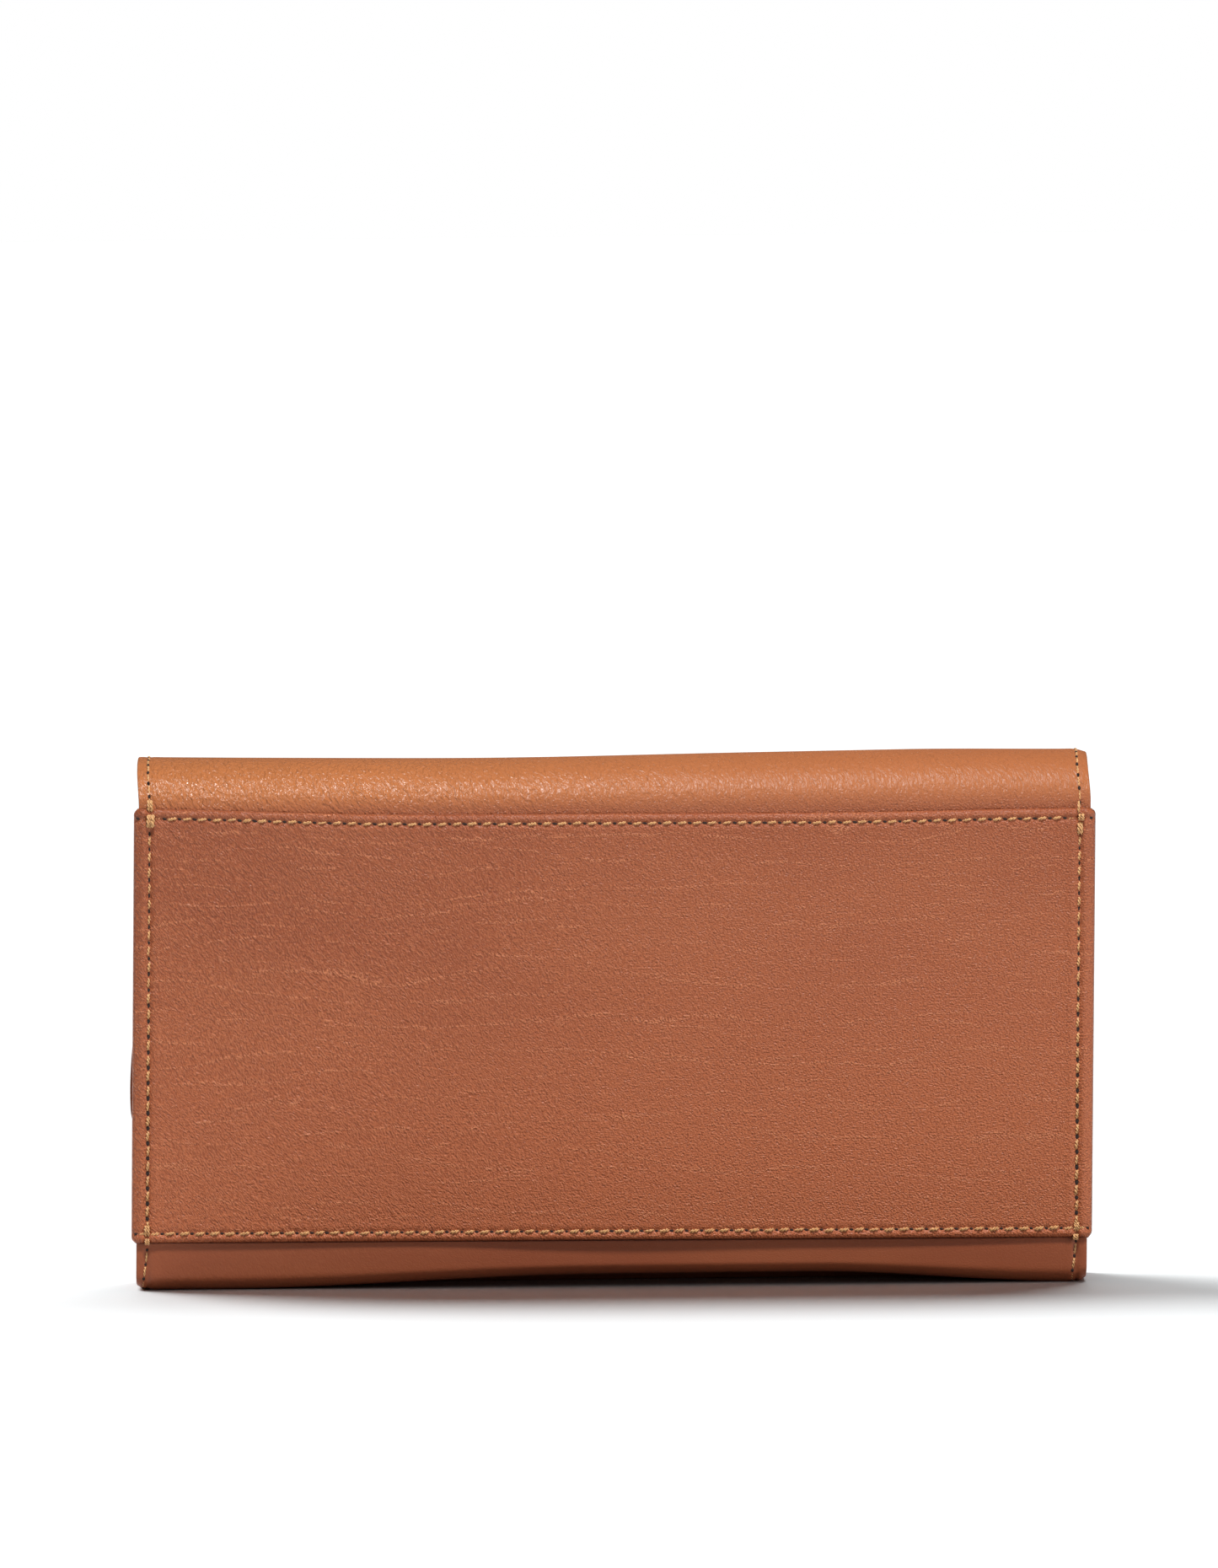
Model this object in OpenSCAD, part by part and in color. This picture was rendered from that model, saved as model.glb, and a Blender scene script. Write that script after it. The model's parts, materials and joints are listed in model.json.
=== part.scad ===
// Long flap wallet: a leather shell folded round cloth-lined note compartments, a zipped coin
// pocket and card slots, with a slip pocket on its back and a magnetic snap under the flap.
// +Z is up, -Y faces the back with the slip pocket, +Y faces the flap. The origin is on the
// surface it stands on, under the middle of the closed wallet.

/* [Body] */
// Width of the leather shell
body_w = 197.6; // [190:0.2:215]
// Height of the closed wallet
body_h = 110.4; // [105:0.1:125]
// Thickness of the closed wallet, back pocket and flap included
body_d = 31; // [30:0.5:38]
// Thickness of the shell's leather
leather_t = 1.2; // [0.9:0.1:1.4]
// Thickness of the lining cloth
lining_t = 0.5; // [0.3:0.1:0.7]
// Glue line between two layers
glue_gap = 0.1; // [0.1:0.05:0.2]
// Outer radius of the two folds along the bottom
base_fold_r = 6; // [4:0.5:8]
// Outer radius of the roll over the top
top_fold_r = 10.9; // [9:0.1:13]
// Slit left between two leather pieces that turn on each other
fold_slit = 0.2; // [0.1:0.05:0.4]

/* [Back pocket] */
// How far the pocket's lips stand out past the shell's side edges
pocket_lip = 1.1; // [0.8:0.05:2]
// Thickness of the pocket's leather between its hems
pocket_t = 0.9; // [0.7:0.1:1.2]
// How far the turned hems stand proud of the pocket's leather
hem_rise = 0.3; // [0.1:0.05:0.5]
// Height of the turned hems
hem_h = 3.4; // [2.6:0.1:5]
// Drop from the start of the top roll to the pocket's mouth
pocket_top_drop = 0.6; // [0.4:0.1:6]
// Rise from the bottom fold to the pocket's lower edge
pocket_base_rise = 3.5; // [0.5:0.1:8]

/* [Front] */
// Height of the front wall's top edge
front_h = 90; // [84:0.5:94]
// Thickness of the leather turned in at the front's top edge
turned_t = 0.7; // [0.5:0.1:0.8]
// Height of the leather turned in at the front's top edge
turned_h = 9; // [6:0.5:14]

/* [Flap] */
// Height of the flap's lower edge above the floor
flap_tip_z = 24; // [16:1:34]
// Radius of the flap's two lower corners
flap_corner_r = 12; // [6:0.5:18]

/* [Snap] */
// Height of the magnetic snap above the floor
snap_z = 44; // [40:1:60]
// Space for the snap between the front and the flap
snap_gap = 3.1; // [2.9:0.1:4]
// Diameter of the snap's socket
socket_d = 16; // [12:0.5:18]
// Thickness of the snap's socket
socket_t = 1.7; // [1.5:0.1:2]
// Diameter of the snap's plate on the flap
plate_d = 14; // [10:0.5:16]
// Thickness of the snap's plate on the flap
plate_t = 0.9; // [0.6:0.1:1.1]
// Diameter of the stud on the plate
stud_d = 5.6; // [4:0.2:6.4]
// Clearance round the stud in the socket
stud_clearance = 0.7; // [0.5:0.1:1]
// Diameter of the washers hidden in the leather
washer_d = 14; // [11:0.5:16]
// Thickness of the washers
washer_t = 0.4; // [0.3:0.05:0.5]

/* [Card slots] */
// Number of card tiers on the back wall
tier_count = 3; // [2:1:3]
// Distance from the shell's edge to the card tiers' ends
tier_inset = 10.8; // [10.4:0.2:12]
// Thickness of a card tier
tier_t = 0.6; // [0.4:0.1:0.7]
// Height of the lower edge of the tiers
tier_base_z = 8; // [7:0.5:10]
// Height of the top edge of the lowest tier
tier_first_z = 54; // [48:1:58]
// Step from one tier's edge to the next
tier_step = 11; // [8:0.5:13]

/* [Coin pocket] */
// Distance from the shell's edge to the coin pocket's side edges
divider_inset = 3.2; // [2.6:0.1:5]
// Distance from the shell's edge to the ends of the zip's raised head
zip_head_inset = 12.8; // [11.4:0.2:18]
// Height of the coin pocket's lower edge
divider_base_z = 8; // [6:0.5:12]
// Height of the panels' top edges beside the zip
divider_top_z = 80; // [76:0.5:82]
// Height of the straight head below those edges
zip_head_h = 7; // [5:0.5:9]
// Height of the slope from the pouch up to the head
head_slope_h = 5; // [3:0.5:7]
// Thickness of the coin pocket's leather
panel_t = 0.8; // [0.6:0.1:1]
// Outer thickness of the pocket below the zip's head
pouch_d = 7.4; // [6.6:0.1:8.4]

/* [Zip] */
// Half width of the meshed teeth
teeth_half = 2.2; // [2:0.1:2.4]
// Height of a tooth
tooth_h = 2.2; // [1.8:0.1:2.4]
// Length of a tooth along the zip
tooth_l = 1; // [0.8:0.05:1.1]
// Distance from one tooth to the next on one tape
tooth_pitch = 2.4; // [2.3:0.1:3]
// Thickness of the zip's tape
tape_t = 0.5; // [0.3:0.05:0.6]
// Rise of the tapes above the panels' top edges
tape_rise = 2.75; // [2.3:0.05:3.2]
// Distance from the head's end to the middle of the slider at rest
slider_inset = 12; // [10:0.5:16]
// Length of the slider
slider_l = 9; // [8:0.5:11]
// Half width of the slider
slider_half = 3.3; // [3.1:0.1:3.6]
// Thickness of the slider's two plates
slider_plate_t = 0.9; // [0.7:0.1:1]
// Length of the pull from its pin
pull_l = 15; // [10:0.5:17]
// Width of the pull
pull_w = 5; // [4:0.5:6]
// Thickness of the pull
pull_t = 1; // [0.8:0.1:1.2]
// Radius of the pin that the pull turns on
pin_r = 0.5; // [0.4:0.05:0.6]

/* [Gussets] */
// Thickness of the side gussets
gusset_t = 0.7; // [0.5:0.1:0.8]
// Height of the gussets' top edges
gusset_top_z = 84; // [78:1:86]
// Height of the gussets' lower edges
gusset_base_z = 7; // [6:0.5:10]
// Distance from the shell's edge to the gussets' inner folds
gusset_depth = 9.4; // [8.6:0.2:9.8]

/* [Stitching] */
// Distance from one stitch to the next
stitch_pitch = 3.12; // [2.8:0.02:4]
// Length of a stitch between its holes
stitch_l = 2.3; // [1.6:0.1:2.6]
// Thickness of the thread
thread_d = 0.7; // [0.5:0.05:0.9]
// Thickness of the finer thread used inside
inner_thread_d = 0.4; // [0.3:0.05:0.5]
// Distance from the shell's edge to its side seams
seam_inset = 2.3; // [1.8:0.1:3.2]
// Distance from a hem's edge to its stitches
hem_inset = 2.1; // [1.6:0.1:2.4]
// Length of the bar tacks on the side seams
tack_l = 5; // [3:0.5:7]

/* [Hidden] */
$fn = 64;

TAN = [0.66, 0.40, 0.27];
TAN_DARK = [0.55, 0.32, 0.21];
CLOTH = [0.62, 0.50, 0.36];
THREAD = [0.80, 0.60, 0.30];
BRASS = [0.80, 0.66, 0.38];
TAPE = [0.45, 0.28, 0.18];

// Layers from the back to the front, each value the layer's lower Y.
pocket_y = -body_d / 2 + hem_rise;
shell_y = pocket_y + pocket_t + glue_gap;
back_lining_y = shell_y + leather_t + glue_gap;
first_tier_y = back_lining_y + lining_t + glue_gap;
flap_y = body_d / 2 - leather_t;
flap_lining_y = flap_y - glue_gap - lining_t;
front_y = flap_lining_y - snap_gap - leather_t;
front_lining_y = front_y - glue_gap - lining_t;
tier_pitch = tier_t + glue_gap;
rear_space_y = first_tier_y + tier_count * tier_pitch - glue_gap;
divider_y = (rear_space_y + front_lining_y) / 2;

// Heights where the shell bends.
fold_z = body_h - top_fold_r;
pocket_top_z = fold_z - pocket_top_drop;
pocket_base_z = base_fold_r + pocket_base_rise;
roll_back_y = shell_y + top_fold_r;
roll_front_y = body_d / 2 - top_fold_r;
roll_mid_y = (shell_y + body_d / 2) / 2;

// Widths that follow from the shell's edge.
edge_x = body_w / 2;
pocket_w = body_w + 2 * pocket_lip;
tier_w = body_w - 2 * tier_inset;
divider_w = body_w - 2 * divider_inset;
zip_head_w = body_w - 2 * zip_head_inset;
seam_x = edge_x - seam_inset;
flap_h = fold_z - fold_slit / 2 - flap_tip_z;

// The zip.
zip_gap = 0.3;
tooth_reach = 0.7;
tape_top_z = divider_top_z + tape_rise;
zip_z = tape_top_z - tape_t / 2;
tape_out = slider_half + zip_gap + tape_t;
head_half = tape_out + glue_gap + panel_t;
head_base_z = divider_top_z - zip_head_h;
tape_base_z = head_base_z + zip_gap;
slider_rest_x = -zip_head_w / 2 + slider_inset;
travel_over = 2;
slider_travel = zip_head_w - 2 * slider_inset + travel_over;
slider_nose = 2.5;
chain_start_x = slider_rest_x - slider_l / 2 + slider_nose + zip_gap;
chain_end_x = slider_rest_x + slider_travel + slider_l / 2;
tooth_count = floor((chain_end_x - chain_start_x) / tooth_pitch);
stop_l = 1.6;
plate_under_z = zip_z - tooth_h / 2 - zip_gap;
plate_over_z = zip_z + tooth_h / 2 + zip_gap;
pin_z = plate_over_z + slider_plate_t + 1.3;
eye_r = 1.1;
eye_w = 1.8;
ear_t = 0.6;
ear_gap = 0.2;
ear_mid = eye_w / 2 + ear_gap + ear_t / 2;
pin_clearance = 0.06;

// The snap's hidden prongs.
prong_w = 3;
prong_t = 0.5;
prong_x = 3.8;
prong_clearance = 0.1;

// Extrudes a profile drawn in Y and Z across the wallet.
module across(w, x = 0) {
    translate([x, 0, 0])
        rotate([90, 0, 90])
            linear_extrude(height = w, center = true)
                children();
}

// Extrudes an outline drawn in X and Z from y to y + t.
module facing(y, t) {
    translate([0, y + t, 0])
        rotate([90, 0, 0])
            linear_extrude(height = t)
                children();
}

// A rectangle in Y and Z between two corners.
module slab(y0, z0, y1, z1) {
    translate([y0, z0]) square([y1 - y0, z1 - z0]);
}

// A quarter of a ring of outer radius r and wall t, in the quadrant that the signs name.
module quarter_band(r, t, side_y, side_z, trim = 0) {
    intersection() {
        difference() {
            circle(r = r);
            circle(r = r - t);
        }
        translate([side_y > 0 ? 0 : -r - 1, side_z > 0 ? trim : -r - 1])
            square([r + 1, r + 1 - (side_z > 0 ? trim : 0)]);
    }
}

// The folded bottom: two walls joined by two round folds and a flat base.
module trough(y0, y1, z0, r, t, rear_top, front_top) {
    translate([y0 + r, z0 + r]) quarter_band(r, t, -1, -1);
    translate([y1 - r, z0 + r]) quarter_band(r, t, 1, -1);
    slab(y0 + r, z0, y1 - r, z0 + t);
    slab(y0, z0 + r, y0 + t, rear_top);
    if (front_top > z0 + r) slab(y1 - t, z0 + r, y1, front_top);
}

// One half of the roll over the top, inset from the roll's outer face, with wall t.
module roll_half(inset, t, side) {
    r = top_fold_r - inset;
    centre_y = side < 0 ? roll_back_y : roll_front_y;
    seam_y = roll_mid_y + side * fold_slit / 2;
    translate([centre_y, fold_z]) quarter_band(r, t, side, 1, fold_slit / 2);
    slab(min(centre_y, seam_y), fold_z + r - t, max(centre_y, seam_y), fold_z + r);
}

// A row of children at an even pitch from one place to another along a direction.
module row(from, to, direction, pitch = stitch_pitch) {
    count = floor((to - from) / pitch);
    start = (from + to - (count - 1) * pitch) / 2;
    for (i = [0 : count - 1]) translate(direction * (start + i * pitch)) children();
}

// One stitch along X, flat on the XY plane.
module stitch(length = stitch_l, d = thread_d) {
    across(length)
        intersection() {
            circle(d = d, $fn = 24);
            translate([-d, 0]) square([2 * d, d]);
        }
}

// Turns a stitch to lie on a face that looks along -Y (side -1) or +Y (side 1).
module on_face(side, upright = false) {
    rotate([-90 * side, 0, 0])
        rotate([0, 0, upright ? 90 : 0])
            children();
}

// Both seams beside the edges, mirrored about the middle.
module both_sides(x) {
    for (side = [-1, 1]) translate([side * x, 0, 0]) children();
}

// ---- Leather shell ----

module shell_back() {
    color(TAN)
        across(body_w)
            trough(shell_y, front_y + leather_t, 0, base_fold_r, leather_t,
                   fold_z - fold_slit / 2, 0);
}

module shell_front() {
    edge_r = (leather_t + turned_t) / 2;
    outer_y = front_y + leather_t;
    color(TAN)
        difference() {
            across(body_w) {
                slab(front_y, base_fold_r + fold_slit, outer_y, front_h - edge_r);
                slab(front_y - turned_t, front_h - turned_h, outer_y, front_h - edge_r);
                translate([outer_y - edge_r, front_h - edge_r]) circle(r = edge_r);
            }
            washer_recess(front_y);
            prongs(front_y, leather_t, prong_clearance);
        }
}

module fold_lower() {
    color(TAN) across(body_w) roll_half(0, leather_t, -1);
}

module fold_upper() {
    color(TAN) across(body_w) roll_half(0, leather_t, 1);
}

// The flap's outline, inset from its side and lower edges.
module flap_outline(inset) {
    r = flap_corner_r - inset;
    half = edge_x - inset;
    base = flap_tip_z + inset;
    top = fold_z - fold_slit / 2;
    translate([-half, base + r]) square([2 * half, top - base - r]);
    translate([-half + r, base]) square([2 * (half - r), r]);
    for (side = [-1, 1]) translate([side * (half - r), base + r]) circle(r = r);
}

module flap() {
    color(TAN)
        difference() {
            facing(flap_y, leather_t) flap_outline(0);
            washer_recess(flap_y);
        }
}

// ---- Lining ----

module back_lining() {
    inset = leather_t + glue_gap;
    color(CLOTH)
        across(body_w - 2)
            trough(back_lining_y, front_lining_y + lining_t, inset, base_fold_r - inset, lining_t,
                   fold_z - fold_slit / 2, 0);
}

module front_lining() {
    color(CLOTH)
        across(body_w - 2)
            slab(front_lining_y, base_fold_r + fold_slit,
                 front_lining_y + lining_t, front_h - turned_h - glue_gap);
}

module fold_lower_lining() {
    color(CLOTH) across(body_w - 2) roll_half(leather_t + glue_gap, lining_t, -1);
}

module fold_upper_lining() {
    color(CLOTH) across(body_w - 2) roll_half(leather_t + glue_gap, lining_t, 1);
}

module flap_lining() {
    color(CLOTH)
        difference() {
            facing(flap_lining_y, lining_t) flap_outline(1);
            prongs(flap_lining_y, lining_t, prong_clearance);
        }
}

// ---- Back pocket ----

module back_pocket() {
    hem_r = pocket_t + hem_rise;
    lip_t = (pocket_w - body_w) / 2 - glue_gap;
    back_y = pocket_y + pocket_t;
    color(TAN_DARK) {
        across(pocket_w) {
            slab(pocket_y, pocket_base_z + hem_h / 2, back_y, pocket_top_z - hem_h / 2);
            hem(pocket_top_z, -1, hem_r, back_y);
            hem(pocket_base_z, 1, hem_r, back_y);
        }
        both_sides(pocket_w / 2 - lip_t / 2)
            across(lip_t)
                slab(pocket_y, pocket_base_z, shell_y + leather_t, pocket_top_z);
    }
}

// A turned hem in profile: round at the free edge, proud of the leather, and back to it.
module hem(edge_z, inward, r, back_y) {
    intersection() {
        union() {
            translate([back_y, edge_z + inward * r]) circle(r = r);
            slab(back_y - r, min(edge_z + inward * r, edge_z + inward * hem_h),
                 back_y, max(edge_z + inward * r, edge_z + inward * hem_h));
        }
        slab(back_y - r, edge_z - hem_h, back_y, edge_z + hem_h);
    }
}

// ---- Side gussets ----

// The gusset's middle line on the right side: a flange on the back, an inner fold, a ridge
// round the coin pocket's edge, an inner fold and a flange on the front.
function gusset_line() =
    let(inner_x = edge_x - gusset_depth,
        flange_x = edge_x - seam_inset - 1.9,
        end_x = edge_x - 0.5,
        rear_y = back_lining_y + lining_t + glue_gap + gusset_t / 2,
        front_flange_y = front_lining_y - glue_gap - gusset_t / 2,
        ridge_x = divider_w / 2 + 0.6 + gusset_t / 2,
        ridge_half = pouch_d / 2 + 0.2 + gusset_t / 2,
        rear_ridge_y = divider_y - ridge_half,
        front_ridge_y = divider_y + ridge_half,
        rear_fold_y = (rear_y + rear_ridge_y) / 2,
        front_fold_y = (front_flange_y + front_ridge_y) / 2,
        blunt = 0.4)
    [[end_x, rear_y], [flange_x, rear_y],
     [inner_x, rear_fold_y - blunt], [inner_x, rear_fold_y + blunt],
     [ridge_x, rear_ridge_y], [ridge_x, front_ridge_y],
     [inner_x, front_fold_y - blunt], [inner_x, front_fold_y + blunt],
     [flange_x, front_flange_y], [end_x, front_flange_y]];

function unit(v) = v / norm(v);
function left_of(v) = [-v[1], v[0]];
// The points of a line moved sideways by d, mitred at each bend.
function beside(line, d) =
    [for (i = [0 : len(line) - 1])
        let(before = unit(line[max(i, 1)] - line[max(i, 1) - 1]),
            after = unit(line[min(i + 1, len(line) - 1)] - line[min(i, len(line) - 2)]),
            n1 = left_of(before),
            n2 = left_of(after))
        line[i] + (n1 + n2) / (1 + n1 * n2) * d];
function reversed(list) = [for (i = [len(list) - 1 : -1 : 0]) list[i]];

module gusset(side) {
    line = gusset_line();
    color(TAN_DARK)
        mirror([side < 0 ? 1 : 0, 0, 0])
            translate([0, 0, gusset_base_z])
                linear_extrude(height = gusset_top_z - gusset_base_z)
                    polygon(concat(beside(line, gusset_t / 2), reversed(beside(line, -gusset_t / 2))));
}

// ---- Card slots ----

// Tier 0 is the lowest and stands furthest forward; the others rise behind it.
module card_tier(level) {
    y = first_tier_y + (tier_count - 1 - level) * tier_pitch;
    top = tier_first_z + level * tier_step;
    color(TAN_DARK)
        across(tier_w) {
            slab(y, tier_base_z, y + tier_t, top - tier_t / 2);
            translate([y + tier_t / 2, top - tier_t / 2]) circle(d = tier_t, $fn = 24);
        }
}

// ---- Coin pocket ----

// One panel in profile, measured out from the pocket's middle: the pouch, a slope and the head.
module panel_profile(side, outer_low, outer_high, t, base, top) {
    polygon([
        [divider_y + side * (outer_low - t), base],
        [divider_y + side * outer_low, base],
        [divider_y + side * outer_low, head_base_z - head_slope_h],
        [divider_y + side * outer_high, head_base_z],
        [divider_y + side * outer_high, top],
        [divider_y + side * (outer_high - t), top],
        [divider_y + side * (outer_high - t), head_base_z],
        [divider_y + side * (outer_low - t), head_base_z - head_slope_h]
    ]);
}

module coin_pocket_panel(side) {
    outer = pouch_d / 2;
    color(TAN_DARK) {
        across(zip_head_w) panel_profile(side, outer, head_half, panel_t, divider_base_z, divider_top_z);
        across(divider_w)
            slab(divider_y + (side > 0 ? outer - panel_t : -outer), divider_base_z,
                 divider_y + (side > 0 ? outer : panel_t - outer), head_base_z - head_slope_h);
    }
}

module coin_pocket_lining() {
    outer = pouch_d / 2 - panel_t - glue_gap;
    bag_w = zip_head_w - 6;
    top = head_base_z - head_slope_h;
    color(CLOTH)
        across(bag_w) {
            slab(divider_y - outer, divider_base_z, divider_y + outer, divider_base_z + lining_t);
            for (side = [-1, 1])
                slab(divider_y + (side > 0 ? outer - lining_t : -outer), divider_base_z,
                     divider_y + (side > 0 ? outer : lining_t - outer), top);
        }
}

// ---- Zip ----

module zip_tape(side) {
    inner = teeth_half;
    color(TAPE)
        across(zip_head_w) {
            slab(divider_y + (side > 0 ? inner : -tape_out), tape_top_z - tape_t,
                 divider_y + (side > 0 ? tape_out : -inner), tape_top_z);
            slab(divider_y + (side > 0 ? tape_out - tape_t : -tape_out), tape_base_z,
                 divider_y + (side > 0 ? tape_out : tape_t - tape_out), tape_top_z);
        }
}

// One tape's teeth; the front ones stand half a pitch on, so the two rows mesh.
module zip_teeth(side) {
    shift = side > 0 ? tooth_pitch / 2 : 0;
    low = side > 0 ? -tooth_reach : -teeth_half;
    high = side > 0 ? teeth_half : tooth_reach;
    color(BRASS)
        for (i = [0 : tooth_count - 1])
            translate([chain_start_x + shift + i * tooth_pitch, divider_y + low, zip_z - tooth_h / 2])
                cube([tooth_l, high - low, tooth_h]);
}

module zip_top_stops() {
    x = slider_rest_x - slider_l / 2 - stop_l - zip_gap;
    color(BRASS)
        for (side = [-1, 1])
            translate([x, divider_y + (side > 0 ? teeth_half - 1.2 : -teeth_half), zip_z - tooth_h / 2])
                cube([stop_l, 1.2, tooth_h]);
}

module zip_bottom_stop() {
    color(BRASS)
        translate([chain_end_x + zip_gap + tooth_pitch, divider_y - teeth_half, zip_z - tooth_h / 2])
            cube([stop_l, 2 * teeth_half, tooth_h]);
}

// Two plates joined by a nose at the end where the tapes part, with rails beside the teeth and
// a pin on two ears for the pull.
module zip_slider() {
    x0 = slider_rest_x - slider_l / 2;
    over_top_z = plate_over_z + slider_plate_t;
    rail_in = teeth_half + zip_gap;
    rail_gap = (tape_t + 2 * zip_gap) / 2;
    color(BRASS)
        translate([0, divider_y, 0]) {
            for (z = [plate_under_z - slider_plate_t, plate_over_z])
                translate([slider_rest_x, 0, z])
                    slider_plate();
            translate([x0 + slider_nose / 2, 0, plate_under_z])
                cylinder(h = plate_over_z - plate_under_z, r = 0.9);
            for (side = [-1, 1]) {
                for (z = [[plate_under_z, zip_z - rail_gap], [zip_z + rail_gap, plate_over_z]])
                    translate([x0 + 1, side > 0 ? rail_in : -slider_half, z[0]])
                        cube([slider_l - 2, slider_half - rail_in, z[1] - z[0]]);
                translate([slider_rest_x - eye_r, side * ear_mid - ear_t / 2, over_top_z])
                    cube([2 * eye_r, ear_t, pin_z - over_top_z + eye_r]);
            }
            translate([slider_rest_x, 0, pin_z])
                rotate([90, 0, 0])
                    cylinder(h = eye_w + 2 * ear_gap, r = pin_r, center = true);
        }
}

module slider_plate() {
    r = 1.2;
    linear_extrude(height = slider_plate_t) {
        square([slider_l - 2 * r, 2 * slider_half], center = true);
        square([slider_l, 2 * (slider_half - r)], center = true);
        for (sx = [-1, 1], sy = [-1, 1])
            translate([sx * (slider_l / 2 - r), sy * (slider_half - r)]) circle(r = r);
    }
}

// A flat tab with an eye at one end and a round end with a hole at the other.
module zip_pull() {
    hole_r = 1.3;
    neck_w = eye_w;
    neck_l = 4;
    color(BRASS)
        translate([slider_rest_x, divider_y, pin_z])
            difference() {
                union() {
                    rotate([90, 0, 0]) cylinder(h = eye_w, r = eye_r, center = true);
                    translate([0, -neck_w / 2, -pull_t / 2]) cube([neck_l, neck_w, pull_t]);
                    translate([neck_l, -pull_w / 2, -pull_t / 2])
                        cube([pull_l - neck_l - pull_w / 2, pull_w, pull_t]);
                    translate([pull_l - pull_w / 2, 0, -pull_t / 2]) cylinder(h = pull_t, d = pull_w);
                }
                rotate([90, 0, 0]) cylinder(h = 2 * eye_w, r = pin_r + pin_clearance, center = true);
                translate([pull_l - pull_w / 2, 0, -pull_t]) cylinder(h = 2 * pull_t, r = hole_r);
            }
}

// ---- Magnetic snap ----

// A disc about the snap's axis from y to y + t.
module snap_disc(y, t, d) {
    translate([0, y, snap_z]) rotate([-90, 0, 0]) cylinder(h = t, d = d);
}

// The skived seat for a washer in the leather's inner face.
module washer_recess(y) {
    snap_disc(y - 0.01, washer_t + 0.06, washer_d + 0.4);
}

// The two prongs through the leather, grown by a clearance when they cut their slots.
module prongs(y, t, clearance) {
    for (side = [-1, 1])
        translate([side * prong_x - prong_t / 2 - clearance, y - (clearance > 0 ? 1 : 0),
                   snap_z - prong_w / 2 - clearance])
            cube([prong_t + 2 * clearance, t + (clearance > 0 ? 2 : 0), prong_w + 2 * clearance]);
}

module snap_socket() {
    y = front_y + leather_t;
    wall = 0.3;
    hole_d = stud_d + 2 * stud_clearance;
    color(BRASS) {
        difference() {
            snap_disc(y, socket_t, socket_d);
            snap_disc(y - 1, socket_t + 2, hole_d);
            difference() {
                snap_disc(y - 1, socket_t - wall + 1, socket_d - 2 * wall);
                snap_disc(y - 2, socket_t + 4, hole_d + 2 * wall);
            }
        }
        prongs(front_y + washer_t + 0.05, leather_t - washer_t - 0.05 + socket_t - wall, 0);
    }
}

module snap_magnet() {
    y = front_y + leather_t + 0.1;
    hole_d = stud_d + 2 * stud_clearance;
    color("dimgray")
        difference() {
            snap_disc(y, socket_t - 0.5, socket_d - 0.8);
            snap_disc(y - 1, socket_t + 2, hole_d + 0.8);
            prongs(y, socket_t, prong_clearance);
        }
}

module snap_socket_washer() {
    color(BRASS) snap_disc(front_y, washer_t, washer_d);
}

module snap_stud() {
    plate_y = flap_lining_y - plate_t;
    stud_l = snap_gap - plate_t - 0.4;
    color(BRASS) {
        snap_disc(plate_y, plate_t, plate_d);
        snap_disc(plate_y - stud_l, stud_l, stud_d);
        prongs(flap_lining_y, lining_t + glue_gap, 0);
    }
}

module snap_stud_washer() {
    color(BRASS) snap_disc(flap_y, washer_t, washer_d);
}

// ---- Stitching ----

// The back's side seams: on the pocket between its hems, and on the shell below it.
module side_stitches_back() {
    color(THREAD)
        both_sides(seam_x) {
            translate([0, pocket_y, 0])
                row(pocket_base_z + hem_h + 0.6, pocket_top_z - hem_h - 0.6, [0, 0, 1])
                    on_face(-1, true) stitch();
            translate([0, shell_y, base_fold_r + pocket_base_rise / 2])
                on_face(-1, true) stitch(min(stitch_l, pocket_base_rise - 0.4));
        }
}

module pocket_row(z) {
    color(THREAD)
        translate([0, pocket_y - hem_rise, z])
            row(-seam_x + 1, seam_x - 1, [1, 0, 0])
                on_face(-1) stitch();
}

module pocket_mouth_stitches() {
    pocket_row(pocket_top_z - hem_inset);
}

module pocket_base_stitches() {
    pocket_row(pocket_base_z + hem_inset);
}

// A bar tack over each end of the two hems, on the side seams.
module bar_tacks() {
    color(THREAD)
        both_sides(seam_x)
            for (z = [pocket_base_z + hem_h / 2, pocket_top_z - hem_h / 2])
                translate([0, pocket_y - hem_rise, z])
                    on_face(-1, true) stitch(min(tack_l, hem_h - 0.8));
}

// Stitches round the roll's outer face, on the half that side names.
module roll_stitches(side) {
    arc = 90 * top_fold_r * PI / 180;
    count = floor(arc / stitch_pitch);
    step = 90 / count;
    centre_y = side < 0 ? roll_back_y : roll_front_y;
    color(THREAD)
        both_sides(seam_x)
            for (i = [0 : count - 1])
                translate([0, centre_y, fold_z])
                    rotate([-side * (i + 0.5) * step, 0, 0])
                        translate([0, 0, top_fold_r])
                            rotate([0, 0, 90])
                                stitch(min(stitch_l, 0.7 * stitch_pitch));
}

// Stitches round the flap's sides, corners and lower edge.
module flap_stitches() {
    r = flap_corner_r - seam_inset;
    corner_count = floor(r * PI / 2 / stitch_pitch);
    corner_z = flap_tip_z + flap_corner_r;
    corner_x = edge_x - flap_corner_r;
    color(THREAD)
        translate([0, flap_y + leather_t, 0]) {
            both_sides(seam_x)
                row(corner_z, fold_z - 1, [0, 0, 1]) on_face(1, true) stitch();
            translate([0, 0, flap_tip_z + seam_inset])
                row(-corner_x, corner_x, [1, 0, 0]) on_face(1) stitch();
            for (side = [-1, 1], i = [0 : corner_count - 1])
                translate([side * corner_x, 0, corner_z])
                    rotate([0, -side * 90 * (i + 0.5) / corner_count, 0])
                        translate([0, 0, -r])
                            on_face(1) stitch();
        }
}

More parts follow.
